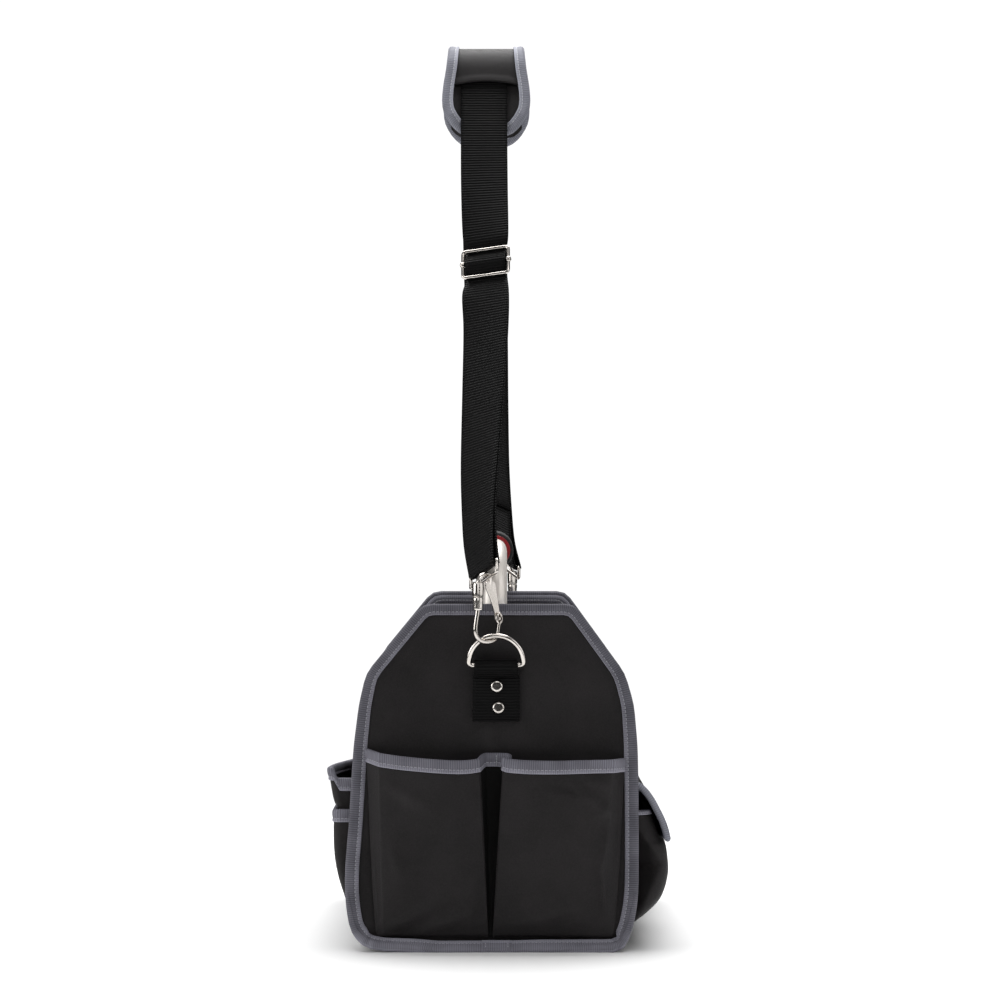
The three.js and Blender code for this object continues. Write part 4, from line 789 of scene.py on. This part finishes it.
def slump(along):
    """How far the flap hangs lower towards the far end, from 0 to 1."""
    return np.clip((along + FLAP_HALF) / (2 * FLAP_HALF), 0, 1)


pouch_rows = [(15, 100.5), (26, 117), (36, 127), (46, 132), (58, 135), (68, 135.2), (76, 134.4),
              (80.5, 132.8), (84.5, 129.2), (92, 126.4), (100, 123.2), (106, 120.4)]
POUCH_SLUMP = 4.7
pouch_waves = [(1.0, 4.2, 5.0, 0.8), (0.8, 8.0, -9.0, 0.1)]
pouch = side_pocket(RIGHT, pouch_rows, 187, 14, 0.0, 0.0, pouch_waves)
reach, along, level = pouch[..., 0], pouch[..., 1], pouch[..., 2]
# Each end folds in along two creases that meet at a point on the front edge
crease_top, crease_point, crease_foot = np.array([(102, 104), (130, 66), (113, 30)], float)


def inside_of(start, end):
    """Distance of the pouch's points from a line in X and Z, on its left as seen from the near end."""
    way = unit(end - start)
    return way[1] * (reach - start[0]) - way[0] * (level - start[1])


tuck = np.minimum(inside_of(crease_top, crease_point), inside_of(crease_point, crease_foot))
tuck = np.clip(tuck, 0, 16) * np.clip((reach - 101) / 8, 0, 1) * np.clip((np.abs(along) - 160) / 20, 0, 1)
pouch[..., 1] -= np.sign(along) * tuck * 0.8
rim_share = np.clip((level - 64) / 16, 0, 1) * np.clip((reach - 102) / 16, 0, 1)
pouch[..., 0] -= POUCH_SLUMP * slump(along) * rim_share
bound_pocket("pouch", RIGHT, pouch, 3.4, 1.2, "right_pouch", "right_pouch_tape")

hang = np.linspace(0, 1, len(flap_line))[:, None]
sway = hang * ripple(flap_y, 0 * hang, (0.5, 5.2, 0, 0.5), (0.3, 11.0, 0, 1.4))
sag = slump(flap_y) * np.sqrt(hang)
flap_x = flap_line[:, :1] + sway - FLAP_SAG[0] * sag
flap_z = flap_line[:, 1:] - FLAP_SAG[1] * sag
flap = np.stack([flap_x, flap_y + 0 * hang, flap_z], -1)
cloth_piece("flap", flap, FLAP_CLOTH, body_cloth, ["right_flap"])
flap_face = -facing(flap)
down = unit(np.gradient(flap, axis=0))
ends_y = np.array([0.0, 1.0, 0.0])
path = np.concatenate([flap[:, 0], flap[-1, 4:-4], flap[::-1, -1]])
path_front = np.concatenate([flap_face[:, 0], flap_face[-1, 4:-4], flap_face[::-1, -1]])
path_out = np.concatenate([0 * down[:, 0] - ends_y, down[-1, 4:-4], 0 * down[:, -1] + ends_y])
for corner, turn in [(len(flap) - 1, -1), (len(path) - len(flap), 1)]:
    path_out[corner] = down[-1, 0] + turn * ends_y
middle = path - path_front * FLAP_CLOTH / 2 + path_out * 0.6
# Painted light: the flap's tape is the paler copy of the grey ribbon
binding("flap", (middle, path_out, path_front), 8.0, 6.0, 1.9, painted_lit_pad_ribbon, "right_flap_tape", 1.85)

# Ring tabs: black ribbed webbing doubled over the straight bar of a ring and riveted to the end
# panel through the foot of the handle.

webbing = ribbed_finish("black_webbing", (0.0016, 0.0015, 0.0016), (0.0085, 0.0082, 0.0084), rib=2.3,
                        roughness=0.5, depth=0.4, gloss=0.08, contrast=0.3, edge=0.0)
WEBBING = 1.5
TAB_WIDTH = 36.6
TAB_ROLL = 0.93
tab_line = curve([(4.2, 177.6), (3.3, 181), (3.1, 186), (3.15, 195), (3.15, 203), (2.75, 209.0), (2.7, 211.6),
                  (5.0, 213.4), (8.0, 216.8), (8.5, 220.6), (7.2, 223.6), (4.6, 224.7), (2.1, 223.6),
                  (1.15, 221), (1.15, 205), (1.15, 190), (1.15, 178)], 4)


def flat_width(width):
    """Section of a flat strip."""
    columns = 13
    return np.stack([np.linspace(-width / 2, width / 2, columns), np.zeros(columns)], -1)


for end, sign in END_SIGNS.items():
    at = np.stack([0 * tab_line[:, 0], sign * (END_FACE + tab_line[:, 0]), tab_line[:, 1]], -1)
    across = np.array([1.0, 0, 0]) * np.interp(tab_line[:, 1:], [211, 216], [1, TAB_ROLL])
    front = unit(np.cross(np.gradient(at, axis=0), across)) * -sign
    band(f"tab_{end}", (at, across, front), flat_width(TAB_WIDTH), WEBBING, webbing,
         [f"ring_tab_{end}"])

# Rings and rivets: nickel-plated steel. Each ring is bent from round wire with a straight bar, and
# leans out from the panel; the domed rivets clamp tab, panel and handle together.


def sweep(at, first, second, sections, closed=False):
    """A shell of sections carried along stops; sections has a flat outline for each stop."""
    count, size = len(at), sections.shape[1]
    points = at[:, None] + first[:, None] * sections[..., :1] + second[:, None] * sections[..., 1:]
    faces = ring_faces(count, size, closed=closed)
    if not closed:
        faces += [tuple(range(size)), tuple(range((count - 1) * size, count * size))]
    return points.reshape(-1, 3), faces


def circle(sides):
    turn = np.arange(sides) * math.tau / sides
    return np.stack([np.cos(turn), np.sin(turn)], -1)


def wire(line, radius, closed=False):
    """Round wire along a line; the radius may change from point to point."""
    line = np.asarray(line, float)
    way = np.roll(line, -1, 0) - np.roll(line, 1, 0) if closed else np.gradient(line, axis=0)
    way = unit(way)
    first = np.zeros_like(line)
    side = np.cross(way[0], [0.31, 0.52, 0.79])
    for index, ahead in enumerate(way):
        side = side - ahead * np.dot(side, ahead)
        side = side / np.linalg.norm(side)
        first[index] = side
    sizes = np.broadcast_to(radius, len(line))[:, None, None] * circle(14)
    return sweep(line, first, np.cross(way, first), sizes, closed)


def turned(profile, at, axis, sides=28):
    """A shell turned on an axis from rows of distance along it and radius."""
    rows = np.asarray(profile, float)
    axis = unit(np.asarray(axis, float))
    first = unit(np.cross(axis, [0.31, 0.52, 0.79]))
    line = np.asarray(at, float) + rows[:, :1] * axis
    count = len(rows)
    return sweep(line, np.tile(first, (count, 1)), np.tile(np.cross(axis, first), (count, 1)),
                 rows[:, 1][:, None, None] * circle(sides))


def hard_piece(name, shells, material, stands_for, body="bag"):
    """One rigid piece from one or more shells; edges sharper than 38 degrees stay crisp."""
    points, faces, first = [], [], 0
    for shell_points, shell_faces in shells:
        points.append(shell_points)
        faces += [tuple(first + corner for corner in face) for face in shell_faces]
        first += len(shell_points)
    made = piece(name, np.concatenate(points), faces, None, material, stands_for, body)
    made.data.set_sharp_from_angle(angle=math.radians(38))
    return made


def half_turn(shell):
    """A shell turned half round about the upright axis, from the near end to the far end."""
    points, faces = shell
    return points * np.array([-1.0, -1.0, 1.0]), faces


def metal_finish(name, low, high, roughness, grain, metallic=1.0):
    """Plated or bare metal with a faint uneven polish."""
    material = bpy.data.materials.new(name)
    start = ground(material)
    clouds = speckle(start, 60.0, 3.0)
    grit = speckle(start, grain)
    polish = grit * 0.1 + clouds * 0.08 + (roughness - 0.09)
    link(material, colour=clouds.step(0.3, 0.7).between(low, high), roughness=polish)
    relief(material, grit, 0.012)
    constants(material, metallic=metallic)
    return material


nickel = metal_finish("nickel", (0.60, 0.56, 0.52), (0.74, 0.70, 0.66), 0.16, 700.0)

ARCH = np.radians(np.linspace(0, 180, 41))
CORNER = np.radians(np.linspace(-90, 0, 6))[:-1]
RING_HALF, RING_CORNER, RING_WIRE = 21, 2.6, 2.1
corner_x = RING_HALF - RING_CORNER + RING_CORNER * np.cos(CORNER)
corner_z = RING_CORNER + RING_CORNER * np.sin(CORNER)
ring_flat = np.concatenate([
    np.stack([np.linspace(-16, 16, 9), np.zeros(9)], -1),
    np.stack([corner_x, corner_z], -1),
    np.stack([RING_HALF * np.cos(ARCH), RING_CORNER + 21.2 * np.sin(ARCH)], -1),
    np.stack([-corner_x[::-1], corner_z[::-1]], -1)])
RING_BAR = (204.5, 221.2)
RING_LEAN = math.radians(15)
RIVETS = {"upper": (0.5, 204.8), "lower": (1.8, 188.2)}
rivet_profile = [(-10, 0.3), (-10, 3.4), (-9.7, 4), (-8.9, 4), (-8.6, 3.6), (-8.6, 1.9), (0, 1.9), (0, 4.5),
                 (0.15, 4.8), (0.5, 4.78), (1.0, 4.5), (1.5, 4.0), (1.8, 3.4), (1.9, 2.8),
                 (1.86, 1.6), (1.82, 0.2)]
for end, sign in END_SIGNS.items():
    bar = np.array([0, sign * RING_BAR[0], RING_BAR[1]])
    up = np.array([0, sign * math.sin(RING_LEAN), math.cos(RING_LEAN)])
    line = bar + ring_flat[:, :1] * np.array([1.0, 0, 0]) + ring_flat[:, 1:] * up
    hard_piece(f"ring_{end}", [wire(line, RING_WIRE, closed=True)], nickel, [f"d_ring_{end}"])
    for place, (x, z) in RIVETS.items():
        head = turned(rivet_profile, (x, sign * (END_FACE + 4.3), z), (0, sign, 0))
        hard_piece(f"rivet_{end}_{place}_cap", [head], nickel, [f"rivet_{end}_{place}"])

# Handle: one bright steel tube bent down at both ends, pressed flat where it is riveted inside the
# end panels. A red core and a dark foam cover make the grip.

tube_metal = metal_finish("satin_steel", (0.93, 0.87, 0.81), (0.98, 0.93, 0.875), 0.38, 1500.0, 0.42)
HANDLE_X = -1.0
HANDLE_TOP = 308.0
HANDLE_ROUND_Y = 186.6
BEND = 30.0
TUBE_RADIUS = 9.5
bend_turn = np.radians(np.linspace(0, 90, 15))
rise = np.array([(193.8, 170), (193.8, 185), (193.8, 200), (193.8, 212), (192.6, 220), (190.2, 227),
                 (187.8, 234), (186.6, 242), (186.6, 262)])
quarter = np.stack([np.cos(bend_turn), np.sin(bend_turn)], -1)
arc = np.array([HANDLE_ROUND_Y - BEND, HANDLE_TOP - BEND]) + BEND * quarter
half_line = np.concatenate([rise, arc])
handle_line = np.concatenate([half_line, np.stack([np.linspace(130, -130, 9), np.full(9, HANDLE_TOP)], -1),
                              half_line[::-1] * np.array([-1, 1])])
handle_at = np.stack([np.full(len(handle_line), HANDLE_X), handle_line[:, 0], handle_line[:, 1]], -1)
across = np.tile([1.0, 0, 0], (len(handle_at), 1))
normal = np.cross(unit(np.gradient(handle_at, axis=0)), across)
pressed = np.clip((242 - handle_at[:, 2]) / 30, 0, 1)
pressed = pressed * pressed * (3 - 2 * pressed)
pressed_radii = np.stack([TUBE_RADIUS + 3.1 * pressed, TUBE_RADIUS - 6.0 * pressed], -1)
handle_shell = sweep(handle_at, across, normal, circle(24) * pressed_radii[:, None])
hard_piece("handle", [handle_shell], tube_metal, ["handle_tube"])

red_plastic = bpy.data.materials.new("red_plastic")
start = ground(red_plastic)
clouds = speckle(start, 90.0, 3.0)
red = clouds.between((0.25, 0.006, 0.010), (0.36, 0.010, 0.016))
link(red_plastic, colour=red, roughness=clouds * 0.2 + 0.32)
dark_foam = bpy.data.materials.new("dark_foam")
start = ground(dark_foam)
pores = speckle(start, 1400.0, 3.0)
dark = pores.step(0.3, 0.7).between((0.008, 0.008, 0.009), (0.02, 0.02, 0.021))
link(dark_foam, colour=dark, roughness=pores * 0.2 + 0.6)
relief(dark_foam, pores, 0.15)
grip_axis = (HANDLE_X, 0, HANDLE_TOP)
core_profile = [(-65.6, 9.7), (-65.6, 12.0), (-65.2, 12.4), (65.2, 12.4), (65.6, 12.0), (65.6, 9.7)]
cover_half = [(-65, 12.6), (-65, 14.2), (-64.6, 14.7), (-63.6, 15), (-50, 14.8), (-30, 14.95), (-10, 14.8)]
cover_profile = cover_half + [(-along, radius) for along, radius in cover_half[::-1]]
hard_piece("core", [turned(core_profile, grip_axis, (0, 1, 0), 32)], red_plastic, ["grip_core"])
hard_piece("cover", [turned(cover_profile, grip_axis, (0, 1, 0), 32)], dark_foam, ["grip_cover"])

# Shoulder strap: one length of black ribbed webbing. It doubles back through a loop at each end and
# is sewn there at the far end; at the near end it runs back up to the slider. Shown drawn upright.

STRAP_LEAN = math.radians(23.2)
CROWN_RADIUS = 31.4
CROWN_X = -10.0
STRAP_TOP = 721.0
STRAP_FOOT = 296.5
SLIDER_HEIGHT = 540
# How far the strap's layers lie from their middle, round a loop's wire and where they lie flat
ROUND_LOOP, LAID_FLAT = 2.55, 1.25
NEAR, FAR = -1, 1
# Rows of each side of the strap: height, X, twist in degrees
RUNS = {
    NEAR: np.array([(296.5, -9.5, 61), (318, -12.4, 55), (345, -13.3, 50), (380, -12.5, 42), (436, -10, 33),
                    (486, -8.2, 25), (540, -8.6, 17), (600, -9.6, 6), (648, -10, 0)]),
    FAR: np.array([(296.5, 9.5, -61), (318, 3, -54), (345, -0.7, -48), (383, -4, -39), (436, -6.5, -30),
                   (486, -8, -22), (540, -9.3, -14), (600, -10, -5), (648, -10, 0)]),
}


def run_at(side, height):
    """Place, across, up and front of the strap's straight run at a height."""
    rows = RUNS[side]
    x = np.interp(height, rows[:, 0], rows[:, 1])
    twist = math.radians(np.interp(height, rows[:, 0], rows[:, 2]))
    tangent = STRAP_TOP - CROWN_RADIUS + CROWN_RADIUS * math.sin(STRAP_LEAN)
    spread = CROWN_RADIUS * math.cos(STRAP_LEAN) + (tangent - height) * math.tan(STRAP_LEAN)
    outward = np.array([0, side * math.cos(STRAP_LEAN), math.sin(STRAP_LEAN)])
    up = np.array([0, -side * math.sin(STRAP_LEAN), math.cos(STRAP_LEAN)])
    sideways = np.array([1.0, 0, 0])
    across = sideways * math.cos(twist) + outward * math.sin(twist)
    front = outward * math.cos(twist) - sideways * math.sin(twist)
    return np.array([x, side * spread, height]), across, up, front


def crown_at(along):
    """Place, way and front of the strap's top, at a distance along it from the middle."""
    side = math.copysign(1, along)
    turned_by = min(abs(along), CROWN_RADIUS * (math.pi / 2 - STRAP_LEAN))
    angle = turned_by / CROWN_RADIUS
    front = np.array([0, side * math.sin(angle), math.cos(angle)])
    way = np.array([0, math.cos(angle), -side * math.sin(angle)])
    middle = np.array([CROWN_X, 0, STRAP_TOP - CROWN_RADIUS])
    return middle + front * CROWN_RADIUS + way * side * (abs(along) - turned_by), way, front


def layer(height):
    """How far each of two strap layers lies from their middle: more at the loop."""
    share = min(1.0, (height - STRAP_FOOT) / 35)
    return ROUND_LOOP + (LAID_FLAT - ROUND_LOOP) * share


def strap_stop(side, height, offset, face):
    at, across, _, front = run_at(side, height)
    return at + front * offset, across, front * face


def loop_turn(side, angles):
    """Stops round the wire of a loop."""
    at, across, up, front = run_at(side, STRAP_FOOT)
    faces = [front * math.cos(angle) - up * math.sin(angle) for angle in np.radians(angles)]
    return [(at + face * ROUND_LOOP, across, face) for face in faces]


def slider_stops(rows, face):
    at, across, up, front = run_at(NEAR, SLIDER_HEIGHT)
    return [(at + up * rise + front * offset, across * width, front * face) for rise, offset, width in rows]


low_heights = [486, 436, 380, 345, 318, STRAP_FOOT]
far_heights = [648, 600, 540, 486, 436, 384.5]
far_sewn = [345, 318, STRAP_FOOT]
TURN = [150, 120, 90, 60, 30]
stops = slider_stops([(3, -2.6, 0.88), (-3, -2.6, 0.88), (-13, -4.9, 0.88), (-30, -1.6, 1)], -1)
stops += [strap_stop(NEAR, height, -layer(height), -1) for height in low_heights]
stops += loop_turn(NEAR, TURN)
stops += [strap_stop(NEAR, height, layer(height), 1) for height in low_heights[::-1]]
stops += slider_stops([(-28, 1.3, 1), (-12, -2.8, 0.88), (0, 2.65, 0.88), (12, -2.8, 0.88), (24, 0, 1)], 1)
stops += [strap_stop(NEAR, height, 0, 1) for height in (600, 648)]
for along in (-36, -24, -12, 0, 12, 24, 36):
    at, _, front = crown_at(along)
    stops.append((at, np.array([1.0, 0, 0]), front))
stops += [strap_stop(FAR, height, 0, 1) for height in far_heights]
stops += [strap_stop(FAR, height, layer(height), 1) for height in far_sewn]
stops += loop_turn(FAR, TURN[::-1])
stops += [strap_stop(FAR, height, -layer(height), -1) for height in far_sewn[::-1]]
strap_at, strap_across, strap_front = (curve([stop[k] for stop in stops], 6) for k in range(3))
STRAP_WIDTH = 38.0
strap_stops = (strap_at, strap_across, unit(strap_front))
band("strap", strap_stops, flat_width(STRAP_WIDTH), WEBBING, webbing, ["shoulder_strap"])

# Strap loops and snap hooks: nickel-plated. A flat-sided loop of wire ends each side of the strap.
# The hook has a wire bow crimped into a ferrule, a leaf with an eye, and a gate pinned to the leaf.


def box_loop(half, low, high, corner):
    """A flat rounded rectangle, from low to high, as a closed line."""
    turn = np.radians(np.linspace(0, 90, 5))
    arcs = []
    for quarter, (x, y) in enumerate([(half - corner, high - corner), (corner - half, high - corner),
                                      (corner - half, low + corner), (half - corner, low + corner)]):
        angle = turn + quarter * math.pi / 2
        arcs.append(np.stack([x + corner * np.cos(angle), y + corner * np.sin(angle)], -1))
    return refined(np.concatenate(arcs), 6.0)


def plate(outline, low, high, bevel, place):
    """A flat plate with soft edges; place puts rows of outline and depth where they belong."""
    flat = np.asarray(outline, float)
    inner = flat - outwards(flat) * bevel
    rings = [(inner, low), (flat, low + bevel), (flat, high - bevel), (inner, high)]
    size = len(flat)
    points = np.concatenate([place(ring, depth) for ring, depth in rings])
    faces = [tuple(range(size)), tuple(range(3 * size, 4 * size))]
    return points, faces + ring_faces(len(rings), size)


foot_at, foot_across, foot_up, _ = run_at(NEAR, STRAP_FOOT)
LOOP_DROP = 10.6
loop_flat = box_loop(21, -LOOP_DROP, 0, 2)
loop_line = foot_at + loop_flat[:, :1] * foot_across + loop_flat[:, 1:] * foot_up
loop_shell = wire(loop_line, 1.4, closed=True)

HOOK_TURN = math.radians(40)
hook_across = np.array([math.cos(HOOK_TURN), math.sin(HOOK_TURN), 0])
hook_normal = np.array([math.sin(HOOK_TURN), -math.cos(HOOK_TURN), 0])
hook_head = foot_at - foot_up * LOOP_DROP + foot_across * 6
HOOK_LIFT = 2.0
hook_foot = (hook_head + hook_across * 2.9) * np.array([1, 1, 0]) + UP * HOOK_LIFT


def on_hook(flat, depth):
    """Rows of distance across the hook and height, put at a depth through it."""
    flat = np.asarray(flat, float)
    return hook_foot + flat[:, :1] * hook_across + flat[:, 1:] * UP + depth * hook_normal


leaf_outline = rounded([(7.3, 252.4), (5.4, 255), (4.4, 262), (0, 272), (-4.4, 280), (-4, 284), (0.6, 285.4),
                        (5.4, 283.4), (7.4, 272), (9.4, 262), (10.4, 255.6), (9.3, 252.8)], 2.0)
head_line = curve([(-12.6, 279), (-12.2, 284), (-9.6, 288.2), (-5.4, 290), (-1.4, 288.6), (0.4, 285),
                   (1.0, 281)], 5)
head_way = unit(np.gradient(head_line, axis=0))
head_first = -head_way[:, 1:] * hook_across + head_way[:, :1] * UP
head_thin = np.clip(np.linspace(-2, 1, len(head_line)), 0, 1)
head_depth = 2.4 - 1.8 * head_thin
head_at = on_hook(head_line, 0) - 1.15 * head_thin[:, None] * hook_normal
head_shell = sweep(head_at, head_first, np.tile(hook_normal, (len(head_line), 1)),
                   circle(16) * np.stack([0 * head_depth + 1.7, head_depth], -1)[:, None])
bow_line = curve([(-12.6, 276), (-12.6, 263), (-14.4, 253), (-15, 247), (-13.6, 241.8), (-10, 238.6),
                  (-5, 237.3), (0.5, 237.6), (4.6, 239.2), (6.2, 241)], 5)
FERRULE_X = -12.6
ferrule_rows = curve([(284, 3.4), (281.5, 4.2), (273.4, 4.1), (272.2, 3.6), (271, 4.0), (266, 3.6),
                      (262.6, 3.3), (262, 2.4)], 3)
ferrule_at = on_hook([(FERRULE_X, height) for height in ferrule_rows[:, 0]], 0)
ferrule_axes = (np.tile(axis, (len(ferrule_at), 1)) for axis in (hook_across, hook_normal))
squared = np.sign(circle(28)) * np.abs(circle(28)) ** 0.5 * np.array([1.0, 0.72])
ferrule_shell = sweep(ferrule_at, *ferrule_axes, ferrule_rows[:, 1][:, None, None] * squared)
PIN = np.array([(8.3, 255.3)])
pin_profile = [(-2.5, 0.3), (-2.5, 1.3), (-2.2, 1.5), (-1.9, 1.5), (-1.9, 1.1), (1.6, 1.1),
               (1.7, 0.9), (1.7, 0.3)]
pin_shell = turned(pin_profile, on_hook(PIN, 0)[0], hook_normal)
hook_shells = [head_shell, plate(leaf_outline, -1.9, -0.4, 0.3, on_hook),
               wire(on_hook(bow_line, 0), 1.7), ferrule_shell, pin_shell]
eye_turn = np.arange(20) * math.tau / 20
gate_eye = PIN + np.stack([2.3 * np.cos(eye_turn), 3.9 * np.sin(eye_turn)], -1)
gate_rod = curve([(8.1, 251.6), (7.7, 249.4), (7.2, 247), (6.8, 244.2)], 4)
gate_shells = [wire(on_hook(gate_eye, 0.9), 0.95, closed=True), wire(on_hook(gate_rod, 0.9), 1.25)]
for end, turn in [("near", lambda shell: shell), ("far", half_turn)]:
    hard_piece(f"loop_{end}", [turn(loop_shell)], nickel, [f"strap_loop_{end}"])
    hard_piece(f"snap_hook_{end}", [turn(shell) for shell in hook_shells], nickel, [f"hook_{end}"])
    hard_piece(f"snap_gate_{end}", [turn(shell) for shell in gate_shells], nickel,
               [f"hook_gate_{end}"], f"gate_{end}")

# Slider: a rounded frame of nickel-plated wire with a butt joint in its lower side, and a loose bar
# across it, with a ball at each end, that the strap is wrapped round.

slide_at, slide_across, slide_up, _ = run_at(NEAR, SLIDER_HEIGHT)
SLIDER_HALF = 11.6
slide_flat = box_loop(19.1, -SLIDER_HALF, SLIDER_HALF, 2.6)
joint = np.abs(slide_flat[:, 0] + 1) + np.abs(slide_flat[:, 1] + SLIDER_HALF)
slide_line = slide_at + slide_flat[:, :1] * slide_across + slide_flat[:, 1:] * slide_up
slider_shell = wire(slide_line, np.where(joint < 2.6, 1.0, 1.4), closed=True)
hard_piece("slider", [slider_shell], nickel, ["slider_frame"])
bar_profile = [(-21.4, 0.3), (-21.2, 1.4), (-20.4, 2.3), (-19.1, 2.6), (-17.8, 2.25), (-17, 1.3)]
bar_profile = bar_profile + [(-along, radius) for along, radius in bar_profile[::-1]]
hard_piece("slider_pin", [turned(bar_profile, slide_at, slide_across, 20)], nickel, ["slider_bar"])

# Shoulder pad: foam between two layers of black cloth, bound all round with the grey ribbon, its colour made
# paler as painted light. A cloth sleeve sewn across its top holds it on the strap.

# Rows of half the pad's outline: distance along from the middle, half width
PAD_ROWS = np.array([(0, 31), (12, 31.1), (24, 31.6), (36, 32.6), (52, 35), (66, 36), (77, 34.8), (86, 29.6),
                     (92.5, 22), (95.4, 13)])
PAD_DROP = 4.65
PAD_CUP = 4.5
PAD_SHIFT = 1.7
PAD_EDGE = 1.2
PAD_HALF = 3.5
# Half the pad's width on its cloth, in metres
PAD_SPREAD = 0.034


def pad_cup(across):
    """How far the pad curls up beside the strap."""
    return PAD_CUP * np.clip((abs(across) - STRAP_WIDTH / 2) / 10, 0, 1.3) ** 1.5


def on_pad(along, across, rise):
    """A place on the pad: distances along it, across it and up from its middle layer."""
    at, _, front = crown_at(along)
    return at + front * (rise + pad_cup(across) - PAD_DROP) + np.array([across + PAD_SHIFT, 0, 0])


def pad_half(along):
    return np.interp(np.abs(along), PAD_ROWS[:, 0], PAD_ROWS[:, 1])


pad_along = np.linspace(-95.2, 95.2, 61)
pad_share = np.linspace(-1, 1, 23)
pad_points, pad_lift = [], []
for level in (1, -1):
    for along in pad_along:
        for share in pad_share:
            inside = (1 - abs(share)) * pad_half(along)
            inside = min(inside, PAD_ROWS[-1, 0] - abs(along))
            puff = np.clip((inside - 7.0) / 5.0, 0, 1)
            rise = level * (PAD_EDGE + (PAD_HALF - PAD_EDGE) * puff * puff * (3 - 2 * puff))
            pad_points.append(on_pad(along, share * (pad_half(along) - 1.3), rise))
            pad_lift.append(rise)
pad_faces = two_layers(len(pad_along), len(pad_share))
pad_place = np.stack(np.meshgrid(pad_share * PAD_SPREAD, pad_along / 1000), -1).reshape(-1, 2)
pad_corners = pad_place[pad_faces.ravel() % len(pad_place)]
pad = piece("pad", pad_points, pad_faces, pad_corners, body_cloth, ["shoulder_pad"])


SWELL_FRAMES = 20


def swell(made, held, pressure, most):
    """Lets cloth swell over its filling, kept where it is held; no point moves further than most."""
    before = np.array([vertex.co for vertex in made.data.vertices])
    made.vertex_groups.new(name="held").add([int(corner) for corner in np.flatnonzero(held)], 1.0, "REPLACE")
    cloth = made.modifiers.new("swell", "CLOTH")
    cloth.settings.use_pressure = True
    cloth.settings.uniform_pressure_force = pressure
    cloth.settings.vertex_group_mass = "held"
    cloth.settings.effector_weights.gravity = 0
    cloth.collision_settings.use_collision = False
    cloth.point_cache.frame_start = 1
    cloth.point_cache.frame_end = SWELL_FRAMES
    for moment in range(1, SWELL_FRAMES + 1):
        scene.frame_set(moment)
    settled = made.evaluated_get(bpy.context.evaluated_depsgraph_get()).data
    moved = np.array([vertex.co for vertex in settled.vertices]) - before
    far = np.maximum(np.linalg.norm(moved, axis=1, keepdims=True) / most, 1)
    made.modifiers.remove(cloth)
    made.data.vertices.foreach_set("co", (before + moved / far).ravel())
    scene.frame_set(1)


under_strap = np.abs(np.array(pad_points)[:, 0] - CROWN_X) < STRAP_WIDTH / 2 + 2
swell(pad, under_strap | (np.abs(pad_lift) < PAD_EDGE + 0.6), 4.0, 0.0018)

pad_quarter = PAD_ROWS[:, [1, 0]]
pad_outline = np.concatenate([pad_quarter * (-1, 1), pad_quarter[::-1], pad_quarter[1:] * (1, -1),
                              pad_quarter[:0:-1] * (-1, -1)])
pad_outline = refined(rounded(pad_outline, 5.0), 5.0)
pad_out = outwards(pad_outline)
pad_rim = np.array([on_pad(along, across, 0) for across, along in pad_outline])
pad_ways = [crown_at(along)[1:] for across, along in pad_outline]
rim_out = np.array([np.array([out[0], 0, 0]) + way * out[1] for out, (way, front) in zip(pad_out, pad_ways)])
rim_front = np.array([front for way, front in pad_ways])
pad_thread = thread_finish("pale_thread", (0.55, 0.56, 0.6), (0.75, 0.76, 0.8))
# Painted light: the pad's tape is the paler copy of the grey ribbon
binding("pad", (pad_rim, rim_out, rim_front), 8.3, 8.3, 2.2, painted_lit_pad_ribbon, "pad_tape", 2.1, closed=True,
        thread=pad_thread, radius=0.36)

sleeve_share = np.linspace(-1, 1, 41)
sleeve_rows = np.linspace(-1, 1, 61)
sleeve = []
for row in sleeve_rows:
    line = []
    for share in sleeve_share:
        end = 52 - 4 * (1 - share ** 2)
        along = row * end
        half = pad_half(along) - 7.5
        across = share * half
        tight = PAD_DROP + 2.2 - pad_cup(across)
        hem = 0.7 * np.clip((abs(row) - 0.885) / 0.02, 0, 1)
        line.append(on_pad(along, across, max(tight, 2.6) + hem))
    sleeve.append(line)
sleeve = np.array(sleeve)
cloth_piece("sleeve", sleeve, 1.2, body_cloth, ["pad_sleeve"])
